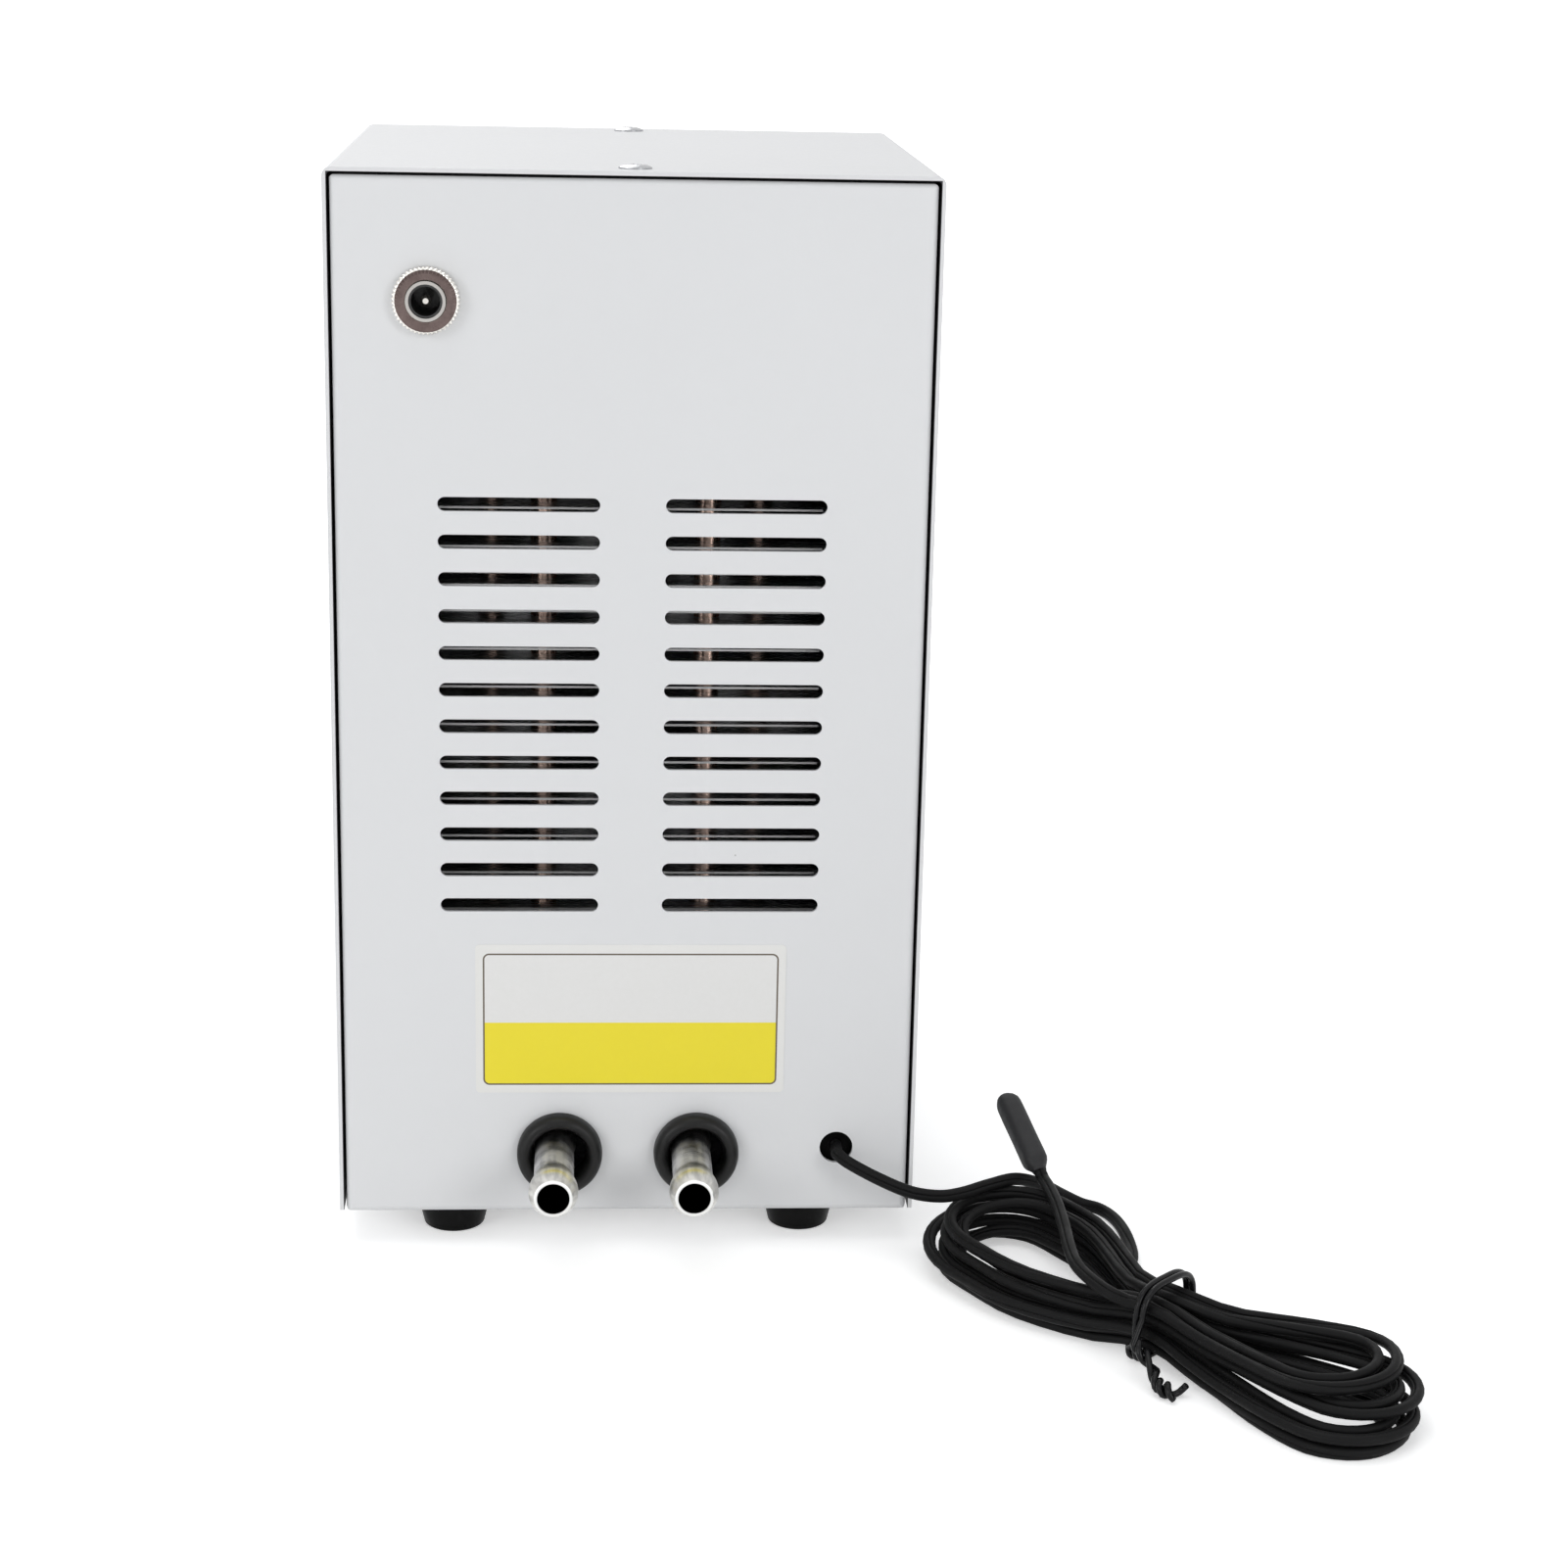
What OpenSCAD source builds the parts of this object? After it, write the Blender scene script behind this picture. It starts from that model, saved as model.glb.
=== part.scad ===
// Aquarium chiller: a thermoelectric cooler in a sheet steel housing. Water passes a cold block at the
// bottom, a heat-pipe tower and a fan carry the heat out through slots, and a sensor on a wound lead
// hangs in the tank. Millimetres, +Z up, front towards -Y, rear with the water tubes towards +Y.

/* [Housing] */
// Width over the cover
body_w = 135; // [130:1:150]
// Depth over the front and rear panels
body_d = 140; // [138:1:170]
// Height without the feet
body_h = 242; // [238:1:280]
// Thickness of the sheet steel
sheet_t = 1; // [0.8:0.1:1.4]
// Outside radius of the chassis bends
bend_r = 1.5; // [1.5:0.1:2.5]
// Outside radius of the cover's two top bends
cover_bend_r = 2; // [1.5:0.1:4]
// Gap all round between the chassis and the cover
cover_gap = 0.5; // [0.3:0.1:0.8]
// Depth of the flanges along the panels' sides
flange = 10; // [8:0.5:12]
// Depth of the flanges along the panels' tops
top_flange = 16; // [14:0.5:20]

/* [Slots] */
// Length of one slot
slot_len = 36; // [30:0.5:40]
// Height of one slot
slot_h = 3.2; // [2.6:0.1:3.8]
// Distance between rows
slot_pitch = 8.46; // [8:0.02:9]
// Number of rows
slot_rows = 12; // [8:1:12]
// Width of sheet between the two columns
slot_web = 14.6; // [10:0.2:20]
// Height of the lowest row above the housing's bottom
slot_first_z = 75.9; // [74:0.1:80]

/* [Water] */
// Distance between the two water tubes
tube_pitch = 32; // [29:0.5:34]
// Height of the tubes above the housing's bottom
tube_height = 15; // [13:0.5:17]
// Outside diameter of a tube
tube_d = 9.8; // [9:0.1:10]
// Bore of a tube
tube_bore = 7.4; // [6.5:0.1:7.6]
// Diameter over the bead that holds the hose
bead_d = 11.3; // [10.8:0.1:12]
// Reach of the tubes behind the rear panel
tube_reach = 28; // [22:0.5:34]
// Width of the cold block
block_w = 60; // [54:1:60]
// Depth of the cold block
block_d = 52; // [50:1:54]
// Height of the cold block
block_h = 12; // [11:0.5:13]
// Sideways shift of everything that is built on the cold block
core_shift = 1.2; // [0:0.1:1.4]

/* [Heat sink] */
// Distance from the rear panel to the tower's centre
core_back = 43; // [40:0.5:44]
// Width of a fin
fin_w = 100; // [92:1:102]
// Depth of a fin
fin_d = 46; // [42:1:48]
// Thickness of a fin
fin_t = 0.5; // [0.4:0.1:0.6]
// Distance from fin to fin
fin_pitch = 3; // [2.8:0.1:3.1]
// Number of fins
fin_count = 37; // [31:2:37]
// Height of the lowest fin above the housing's bottom
fin_first_z = 65.3; // [64:0.1:68]
// Diameter of a heat pipe
pipe_d = 6; // [5:0.5:6]
// Distance from pipe to pipe along the base
pipe_pitch = 9; // [8.5:0.5:10]
// Distance of the outer pipe columns from the tower's centre
column_outer = 31.5; // [30:0.5:34]
// Distance of the inner pipe columns from the tower's centre
column_inner = 19; // [18:0.5:21]

/* [Fan] */
// Side of the square fan frame
fan_size = 92; // [86:1:92]
// Thickness of the fan
fan_t = 25; // [25:0.5:28]
// Number of blades
blade_count = 7; // [5:1:9]
// Diameter of the fan's hub
hub_d = 38; // [36:1:42]
// Diameter of the fan's shaft
shaft_d = 3; // [2.5:0.1:3.2]

/* [Power socket] */
// Distance of the socket from the housing's side
jack_in = 22.2; // [20:0.2:26]
// Distance of the socket below the housing's top
jack_down = 28.1; // [24:0.1:34]
// Diameter of the knurled nut
nut_d = 14.5; // [13:0.1:16]
// Number of teeth on the knurled nut
nut_teeth = 44; // [36:2:56]
// Outside diameter of the threaded barrel
barrel_d = 8.8; // [8.4:0.1:9.4]
// Diameter of the centre pin
pin_d = 2.5; // [2.1:0.1:2.5]

/* [Control panel] */
// Width of the control panel's face
panel_w = 77; // [74:1:84]
// Height of the control panel's face
panel_h = 35; // [33:1:40]
// Distance of its centre below the housing's top
panel_down = 34; // [30:1:38]
// Depth of its case behind the front panel
case_d = 30; // [24:1:34]
// Diameter of a button
button_d = 6; // [5:0.1:6.4]
// Travel of a button
button_travel = 0.5; // [0.3:0.05:0.5]

/* [Feet] */
// Height of a rubber foot
foot_h = 8; // [6:0.5:12]
// Diameter of a foot at the housing
foot_top_d = 18; // [16:0.5:20]
// Diameter of a foot at the floor
foot_floor_d = 14.5; // [13:0.5:16]
// Distance of the feet from the housing's middle, sideways
foot_x = 41.3; // [41:0.1:46]
// Distance of the feet from the front and rear panels
foot_in = 13.5; // [12:0.5:14]

/* [Sensor lead] */
// Distance of the lead's hole from the housing's side
lead_in = 18.4; // [16:0.2:20]
// Height of the lead's hole above the housing's bottom
lead_height = 16; // [15:0.5:18]
// Diameter of the lead's hole
lead_hole_d = 7.8; // [6:0.1:8.4]
// Diameter of the lead, a round stand for its two cores side by side
lead_d = 2.6; // [2.4:0.1:2.7]
// Diameter of the sensor's moulded head
probe_d = 6; // [5:0.1:6.5]
// Length of the sensor's moulded head
probe_len = 27; // [22:0.5:30]
// Layers of the hank, each wound inwards or outwards over the last
hank_layers = 4; // [4]
// Loops in each layer
hank_layer_turns = 2; // [2]
// Height from one layer of the hank to the next
hank_layer = 3.15; // [3.15:0.05:3.4]

/* [Hidden] */

$fn = 48;
// Overrun of a cut beyond the face that it opens
over = 1;
// Clearance between two pieces that are pushed or glued together
snug = 0.05;
// Gap of two pieces that nearly touch
near = 0.3;

// The object's origin is the middle of its outline on the floor, so its front and rear reach balance
bezel_proud = 2;
button_proud = 1;
front_proud = bezel_proud + button_proud;
rear_y = (body_d + front_proud - tube_reach) / 2;
front_y = rear_y - body_d;
bottom_z = foot_h;
floor_z = foot_h + sheet_t;
top_z = foot_h + body_h;

chassis_w = body_w - 2 * (sheet_t + cover_gap);
chassis_top_z = top_z - sheet_t - cover_gap;
base_flange = 12;

screw_d = 3;
screw_head_d = 6;
screw_head_h = 1.6;
screw_hole_d = screw_d + 2 * snug;
recess_w = 0.9;
recess_len = 3.4;
recess_depth = 0.9;
cover_screw_len = 7;
top_screw_in = 9;
side_screw_in = 30;
side_screw_height = 6;
side_screw_z = bottom_z + side_screw_height;

slot_x = (slot_web + slot_len) / 2;

grommet_groove_d = 16;
grommet_d = 20;
grommet_bore = 13;
grommet_proud = 4;
grommet_edge_share = 0.3;
grommet_back = 3;

label_w = 71.8;
label_h = 36.3;
label_t = 0.15;
label_corner_r = 1;
label_x = -0.4;
label_height = 48.15;
label_z = bottom_z + label_height;

core_x = core_shift;
core_y = rear_y - core_back;
tube_z = bottom_z + tube_height;
tube_x = [core_x + tube_pitch / 2, core_x - tube_pitch / 2];
block_z = tube_z - block_h / 2;
block_top = tube_z + block_h / 2;
block_rear_y = core_y + block_d / 2;
tube_seat = 12;
bore_len = 40;
cross_bore_d = 6;
foam_wall = 5;
foam_hole_gap = 0.3;
module_w = 40;
module_t = 3.8;
ceramic_t = 0.8;
pellet_rows = 9;
pellet_w = 2.4;
gasket_gap = 0.5;
base_w = 44;
base_d = 48;
base_t = 5.2;
base_z = block_top + module_t;
pipe_z = base_z + base_t;
bar_w = 6;
bar_t = 1.5;
bar_reach = 45;
bar_y = base_d / 2 - bar_w / 2;
saddle_w = 11;
saddle_d = base_d - 2 * bar_w - 2 * near;
saddle_t = 5.5;
bend_outer = 15;
bend_inner = 13;
pipe_tip = 3;
pipe_tip_d = 3;
pipe_rise = 6;
fin_z = bottom_z + fin_first_z;
stack_h = (fin_count - 1) * fin_pitch + fin_t;
tower_top = fin_z + stack_h + pipe_rise + pipe_tip;
fin_chamfer = 5;
clip_d = 1.4;
post_d = 6;
post_x = 41;
post_hole_depth = 8;
hold_screw_len = 7;

fan_gap = 0.3;
fan_rear_y = core_y - fin_d / 2 - fan_gap;
fan_z = fin_z + stack_h / 2;
fan_top = fan_z + fan_size / 2;
fan_flange_t = 3.5;
fan_wall = 1.5;
duct_d = fan_size - 2 * fan_wall;
fan_corner_r = 5;
fan_hole_in = 4.75;
fan_hole = fan_size / 2 - fan_hole_in;
fan_hole_d = 4.3;
motor_base_t = 3;
motor_floor_t = 0.8;
strut_w = 5;
bearing_tube_d = 9;
bearing_d = 6;
bearing_tube_len = 14;
bearing_len = 12;
bearing_start = 4;
bearing_play = 0.04;
shaft_start = 2;
ring_start = 2.8;
ring_t = 0.6;
ring_d = 5.2;
hub_wall = 1.4;
hub_start = 7;
hub_face_t = 1.6;
rotor_in = 1.4;
rotor_top = fan_t - rotor_in;
hub_boss_d = 8;
hub_boss_gap = 0.5;
magnet_t = 2;
magnet_len = 10;
stator_gap = 1.1;
stator_d = hub_d - 2 * (hub_wall + magnet_t + stator_gap);
stator_h = 8;
stator_start = 6;
stator_slots = 4;
stator_slot_w = 5;
stator_core_d = 15;
circuit_edge = 1;
circuit_d = stator_d + 2 * circuit_edge;
circuit_t = 1.2;
circuit_start = 3.6;
// Angle of a blade at its root and tip, its chord there, and how far up the fan its middle lies
blade_root_angle = 56;
blade_tip_angle = 34;
blade_root_chord = 17;
blade_tip_chord = 29;
blade_t = 1.3;
blade_camber_share = 0.08;
blade_tip_gap = 1.5;
blade_mid = 14;
blade_stations = 5;
blade_points = 6;

jack_x = body_w / 2 - jack_in;
jack_z = top_z - jack_down;
nut_t = 3;
nut_knurl_depth = 0.35;
nut_chamfer = 0.5;
barrel_wall = 0.7;
barrel_proud = 3.8;
barrel_back = 12;
jack_flange_d = 12;
jack_flange_t = 2;
socket_bore = 6.4;
pin_recess = 1;
tab_w = 2;
tab_t = 0.5;
tab_len = 4;

panel_z = top_z - panel_down;
case_wall = 1.5;
case_gap = 0.2;
bezel_lip = 3;
cutout_w = panel_w - 2 * bezel_lip;
cutout_h = panel_h - 2 * bezel_lip;
case_w = cutout_w - 2 * case_gap;
case_h = cutout_h - 2 * case_gap;
face_corner_r = 2.5;
window_w = 40;
window_h = 18;
window_x = -12.5;
window_lip = 1;
lens_t = 1;
display_gap = 0.3;
display_t = 7;
display_w = 31;
display_h = 14;
board_t = 1.6;
board_y = front_y + display_gap + display_t;
button_x = [13, 21, 29];
button_gap = 0.15;
button_lip = 0.7;
button_flange_d = button_d + 2 * button_lip;
button_flange_t = 1;
switch_w = 6;
switch_h = 2.5;
switch_pin_d = 3.4;
switch_pin_h = 1;
switch_gap = 0.05;
stem_d = 2.4;
back_t = 2;
clip_w = 3;
clip_h = 8;
clip_len = 12;
terminal_w = 58;
terminal_h = 10;
terminal_d = 9;
terminal_pitch = 8;
terminal_y = front_y + case_d + back_t + terminal_d;
wire_d = 1.8;
fan_wire_d = 1.2;

lead_x = -(body_w / 2 - lead_in);
lead_z = bottom_z + lead_height;
retainer_d = 10.5;
retainer_t = 3;
retainer_gap = 1;
tie_d = 1.5;

// The hank lies in plan as a figure drawn in at its waist. The waist's middle is measured from the
// lead's hole and the rear panel. Reaches and lobes are those of the innermost run, the shifts move a
// lobe sideways, and a step is added with every turn outwards. A list has one value for each layer.
hank_waist = [-68, 60];
hank_angle = 46;
hank_reach_left = 64;
hank_reaches_right = [56, 57, 55, 48];
hank_lobes_left = [11.5, 12, 12, 13];
hank_lobes_right = [8, 9, 8, 11];
hank_shifts_left = [0, 0, 1, 2];
hank_shifts_right = [-4, -2, 2, 5];
hank_waist_step = 3.5;
hank_lobe_step = 4;
hank_step_share = 2.5;
hank_taper_left = 42;
hank_taper_right = 50;
hank_bow = 13;
hank_bow_len = 74;
// The strands lift off the floor over this length at the waist, where the tie passes under them
hank_lift = 2.1;
hank_lift_len = 16;
// Part of a turn in which the lead climbs to the next layer
hank_climb = 0.4;
// Rings of the tube in a loop, rings left out at both ends of the hank, and the degrees by which the
// rings draw together at the folds
hank_rings = 24;
hank_rings_out = [5, 6];
hank_rings_drawn = 4;
hank_sides = 6;
// Part of a turn over which the direction of the hank's start is taken
hank_turn_step = 0.002;

// Routes, as places from the lead's hole at floor level, and for wires inside the housing from the
// housing's middle at floor level
lead_route = [[0, -1, 24], [0, 1.5, 24], [0, 4, 24], [-2.5, 7.6, 23.1], [-9.5, 10, 20], [-17, 10.2, 16.8],
              [-24, 8.2, 14.9], [-30, 4, 13.9], [-37, -1.5, 13.6], [-44, -6.5, 13], [-51, -11.5, 9.5],
              [-57, -15.5, 5], [-62, -17, 2], [-66.5, -15, 1.3], [-69.3, -8, 1.3], [-70.2, 3, 1.3],
              [-69, 15, 1.3]];
tail_route = [[-55.8, 59.3, 13.9], [-52.6, 54.1, 14.6], [-50.7, 46.1, 14.5], [-50.6, 36, 14.2],
              [-51.2, 24, 14], [-51.4, 12, 14], [-50.9, 3, 14.3]];
probe_foot = [-49.8, -6, 15];
probe_nose = [-44.1, -30.4, 24.8];

// Geometry helpers
function unit(v) = v / norm(v);
function smooth(x) = let (c = min(max(x, 0), 1)) c * c * (3 - 2 * c);
function sign_power(x, e) = sign(x) * pow(abs(x), e);
function last(list) = list[len(list) - 1];
function level(v) = [v[0], v[1], 0];
function path_length(p) = [for (i = [1:len(p) - 1]) norm(p[i] - p[i - 1])] * [for (i = [1:len(p) - 1]) 1];
function distance_to_segment(q, a, b) =
    norm(q - a - min(max((q - a) * (b - a) / ((b - a) * (b - a)), 0), 1) * (b - a));

// Curve through all points of a list, with a number of steps from each point to the next
function curve(p, steps) =
    let (n = len(p), q = concat([2 * p[0] - p[1]], p, [2 * p[n - 1] - p[n - 2]]))
    concat([for (i = [1:n - 1], k = [0:steps - 1])
                let (x = k / steps)
                (2 * q[i] + (q[i + 1] - q[i - 1]) * x
                 + (2 * q[i - 1] - 5 * q[i] + 4 * q[i + 1] - q[i + 2]) * x * x
                 + (3 * q[i] - q[i - 1] - 3 * q[i + 1] + q[i + 2]) * x * x * x) / 2],
           [p[n - 1]]);

// Straight runs whose inner corners are rounded with a given radius
function rounded_run(p, r) =
    concat([p[0]],
           [for (i = [1:len(p) - 2], k = [0:2])
                let (a = p[i] - r * unit(p[i] - p[i - 1]), b = p[i] + r * unit(p[i + 1] - p[i]))
                k == 0 ? a : k == 1 ? (a + 2 * p[i] + b) / 4 : b],
           [last(p)]);

function tangents(p) = [for (i = [0:len(p) - 1])
                            unit(p[min(i + 1, len(p) - 1)] - p[max(i - 1, 0)])];
function square_to(v, t) = unit(v - (v * t) * t);

// Tube of one solid wall along points: one ring of sides at each point, carried without twist
module tube(p, d, sides, up = [0.02, 0.01, 1]) {
    t = tangents(p);
    n = len(p);
    side = [for (i = 0, s = square_to(up, t[0]); i < n;
                 i = i + 1, s = i < n ? square_to(s, t[i]) : s) s];
    rings = [for (i = [0:n - 1], k = [0:sides - 1])
                 let (a = 360 * k / sides)
                 p[i] + d / 2 * (cos(a) * side[i] + sin(a) * cross(t[i], side[i]))];
    walls = [for (i = [0:n - 2], k = [0:sides - 1], f = [0:1])
                 let (a = i * sides + k, b = i * sides + (k + 1) % sides)
                 f == 0 ? [b, a, a + sides] : [b, a + sides, b + sides]];
    ends = [for (k = [1:sides - 2], f = [0:1])
                let (a = (n - 1) * sides)
                f == 0 ? [0, k, k + 1] : [a, a + k + 1, a + k]];
    polyhedron(rings, concat(walls, ends));
}

// Flat outline with true round corners, about its centre
module round_rect(w, h, r) {
    square([w - 2 * r, h], center = true);
    square([w, h - 2 * r], center = true);
    for (x = [-1, 1], y = [-1, 1])
        translate([x * (w / 2 - r), y * (h / 2 - r)])
            circle(r);
}

// Extrusions that run along +Y or +X from a start, with the outline's second axis upwards
module along_y(start, length) {
    translate([0, start + length, 0])
        rotate([90, 0, 0])
            linear_extrude(length)
                children();
}

module along_x(start, length) {
    translate([start, 0, 0])
        rotate([90, 0, 90])
            linear_extrude(length)
                children();
}

// Turned pieces, whose axis runs from a place towards +Y
module facing_rear(x, y, z) {
    translate([x, y, z])
        rotate([-90, 0, 0])
            children();
}

module ring(outer, inner, h) {
    difference() {
        cylinder(h = h, d = outer);
        translate([0, 0, -over])
            cylinder(h = h + 2 * over, d = inner);
    }
}

// Pan head screw with a cross recess, its head's seat at zero and its shank downwards
module pan_screw(length) {
    difference() {
        union() {
            cylinder(h = screw_head_h * 0.6, d = screw_head_d);
            translate([0, 0, screw_head_h * 0.6])
                cylinder(h = screw_head_h * 0.4, d1 = screw_head_d, d2 = screw_head_d * 0.72);
            translate([0, 0, -length])
                cylinder(h = length + screw_head_h / 2, d = screw_d);
        }
        for (turn = [0, 90])
            rotate(turn)
                translate([-recess_len / 2, -recess_w / 2, screw_head_h - recess_depth])
                    cube([recess_len, recess_w, recess_depth + over]);
    }
}

module hex_nut(across, h) {
    difference() {
        cylinder(h = h, d = across / cos(30), $fn = 6);
        translate([0, 0, -over])
            cylinder(h = h + 2 * over, d = screw_hole_d);
    }
}

// Block with every edge rounded as a bend is, from a low corner
module bent_block(x, y, z, w, d, h, r) {
    intersection() {
        along_y(y, d)
            translate([x + w / 2, z + h / 2])
                round_rect(w, h, r);
        along_x(x, w)
            translate([y + d / 2, z + h / 2])
                round_rect(d, h, r);
        translate([x + w / 2, y + d / 2, z])
            linear_extrude(h)
                round_rect(w, d, r);
    }
}

module slot_field() {
    for (column = [-1, 1], row = [0:slot_rows - 1])
        translate([column * slot_x, bottom_z + slot_first_z + row * slot_pitch]) {
            square([slot_len - slot_h, slot_h], center = true);
            for (end = [-1, 1])
                translate([end * (slot_len - slot_h) / 2, 0])
                    circle(d = slot_h);
        }
}

// Front, base and rear bent from one sheet, with flanges that carry the cover
module chassis() {
    inner_r = bend_r - sheet_t;
    chassis_h = chassis_top_z - bottom_z;
    color("whitesmoke")
    difference() {
        bent_block(-chassis_w / 2, front_y, bottom_z, chassis_w, body_d, chassis_h, bend_r);
        bent_block(-chassis_w / 2 + sheet_t, front_y + sheet_t, floor_z, chassis_w - 2 * sheet_t,
                   body_d - 2 * sheet_t, chassis_h - 2 * sheet_t, inner_r);
        translate([-body_w / 2, front_y + flange, bottom_z + base_flange])
            cube([body_w, body_d - 2 * flange, body_h]);
        translate([-body_w / 2, front_y + top_flange, chassis_top_z - flange])
            cube([body_w, body_d - 2 * top_flange, flange + over]);
        along_y(rear_y - sheet_t - over, sheet_t + 2 * over) {
            slot_field();
            for (x = [-1, 1])
                translate([x * tube_pitch / 2, tube_z])
                    circle(d = grommet_groove_d);
            translate([lead_x, lead_z])
                circle(d = lead_hole_d);
            translate([jack_x, jack_z])
                circle(d = barrel_d + 2 * snug);
        }
        along_y(front_y - over, sheet_t + 2 * over) {
            slot_field();
            translate([0, panel_z])
                square([cutout_w, cutout_h], center = true);
        }
        for (y = [front_y + top_screw_in, rear_y - top_screw_in])
            translate([0, y, chassis_top_z - sheet_t - over])
                cylinder(h = sheet_t + 2 * over, d = screw_hole_d);
        along_x(-body_w / 2, body_w)
            for (y = [front_y + side_screw_in, rear_y - side_screw_in])
                translate([y, side_screw_z])
                    circle(d = screw_hole_d);
        translate([0, 0, bottom_z - over])
            linear_extrude(sheet_t + 2 * over)
                at_feet()
                    circle(d = screw_hole_d);
    }
}

module at_feet() {
    for (x = [-foot_x, foot_x], y = [front_y + foot_in, rear_y - foot_in])
        translate([x, y])
            children();
}

// Top and both sides bent from one sheet, open below
module cover() {
    module arch(w, top, r) {
        low = bottom_z + cover_gap;
        translate([-w / 2, low])
            square([w, top - low - r]);
        translate([-w / 2 + r, low])
            square([w - 2 * r, top - low]);
        for (x = [-1, 1])
            translate([x * (w / 2 - r), top - r])
                circle(r);
    }
    color("white")
    difference() {
        along_y(front_y, body_d)
            arch(body_w, top_z, cover_bend_r);
        translate([0, 0, -over])
            along_y(front_y - over, body_d + 2 * over)
                arch(body_w - 2 * sheet_t, top_z - sheet_t + over, cover_bend_r - sheet_t);
        for (y = [front_y + top_screw_in, rear_y - top_screw_in])
            translate([0, y, top_z - sheet_t - over])
                cylinder(h = sheet_t + 2 * over, d = screw_hole_d);
        along_x(-body_w / 2 - over, body_w + 2 * over)
            for (y = [front_y + side_screw_in, rear_y - side_screw_in])
                translate([y, side_screw_z])
                    circle(d = screw_hole_d);
    }
}

module cover_screws() {
    color("silver") {
        for (y = [front_y + top_screw_in, rear_y - top_screw_in])
            translate([0, y, top_z])
                pan_screw(cover_screw_len);
        for (x = [-1, 1], y = [front_y + side_screw_in, rear_y - side_screw_in])
            translate([x * body_w / 2, y, side_screw_z])
                rotate([0, x * 90, 0])
                    pan_screw(cover_screw_len);
    }
}

// Tapered rubber feet, each with a recess for its screw
foot_recess_h = foot_h / 2;
foot_recess_d = 8;
foot_edge_r = 0.8;
module rubber_feet() {
    edge = [for (i = [0:4])
                let (a = 90 * i / 4)
                [foot_floor_d / 2 - foot_edge_r * (1 - sin(a)), foot_edge_r * (1 - cos(a))]];
    color("dimgray")
    at_feet()
        difference() {
            rotate_extrude()
                polygon(concat([[0, 0]], edge, [[foot_top_d / 2, foot_h], [0, foot_h]]));
            translate([0, 0, -over])
                cylinder(h = foot_recess_h + over, d = foot_recess_d);
            cylinder(h = foot_h + over, d = screw_hole_d);
        }
}

module foot_screws() {
    color("silver")
    at_feet()
        translate([0, 0, foot_recess_h])
            rotate([180, 0, 0])
                pan_screw(foot_h - foot_recess_h + sheet_t + foot_nut_h);
}

foot_nut_h = 2.4;
foot_nut_across = 5.5;
module foot_nuts() {
    color("silver")
    at_feet()
        translate([0, 0, floor_z])
            hex_nut(foot_nut_across, foot_nut_h);
}

// Threaded barrel of the power socket, with the flange that seats behind the panel
module power_jack_shell() {
    inside_y = rear_y - sheet_t;
    color("silver")
    facing_rear(jack_x, inside_y - barrel_back, jack_z)
        difference() {
            union() {
                cylinder(h = barrel_back + sheet_t + barrel_proud, d = barrel_d);
                translate([0, 0, barrel_back - jack_flange_t])
                    cylinder(h = jack_flange_t, d = jack_flange_d);
            }
            translate([0, 0, -over])
                cylinder(h = barrel_back + sheet_t + barrel_proud + 2 * over,
                         d = barrel_d - 2 * barrel_wall);
        }
}

module power_jack_insulator() {
    length = barrel_back + sheet_t + barrel_proud - pin_recess / 2;
    back = jack_flange_t;
    color("black")
    facing_rear(jack_x, rear_y - sheet_t - barrel_back, jack_z)
        difference() {
            cylinder(h = length, d = barrel_d - 2 * barrel_wall - 2 * snug);
            translate([0, 0, back])
                cylinder(h = length, d = socket_bore);
            translate([0, 0, -over])
                cylinder(h = back + 2 * over, d = pin_d - 2 * tab_t + 2 * snug);
        }
}

module power_jack_pin() {
    stem = pin_d - 2 * tab_t;
    length = barrel_back + sheet_t + barrel_proud - pin_recess - jack_flange_t;
    color("silver")
    facing_rear(jack_x, rear_y - sheet_t - barrel_back, jack_z) {
        translate([0, 0, jack_flange_t])
            cylinder(h = length - pin_d / 4, d = pin_d);
        translate([0, 0, jack_flange_t + length - pin_d / 4])
            cylinder(h = pin_d / 4, d1 = pin_d, d2 = pin_d / 2);
        translate([0, 0, -tab_len / 2])
            cylinder(h = jack_flange_t + tab_len / 2 + over, d = stem);
        translate([-tab_w / 2, -tab_t / 2, -tab_len])
            cube([tab_w, tab_t, tab_len - snug]);
    }
}

// Knurled round nut: the teeth are a toothed outline between two plain chamfered faces
module power_jack_nut() {
    teeth = [for (i = [0:2 * nut_teeth - 1])
                 let (a = 180 * i / nut_teeth, r = nut_d / 2 - (i % 2 == 0 ? 0 : nut_knurl_depth))
                 [r * cos(a), r * sin(a)]];
    plain_d = nut_d - 2 * nut_knurl_depth - 2 * snug;
    color("silver")
    facing_rear(jack_x, rear_y, jack_z)
        difference() {
            union() {
                translate([0, 0, nut_chamfer])
                    linear_extrude(nut_t - 2 * nut_chamfer)
                        polygon(teeth);
                cylinder(h = nut_chamfer, d1 = plain_d - nut_chamfer, d2 = plain_d);
                translate([0, 0, nut_t - nut_chamfer])
                    cylinder(h = nut_chamfer, d1 = plain_d, d2 = plain_d - nut_chamfer);
            }
            translate([0, 0, -over])
                cylinder(h = nut_t + 2 * over, d = barrel_d + 2 * snug);
        }
}

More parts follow.
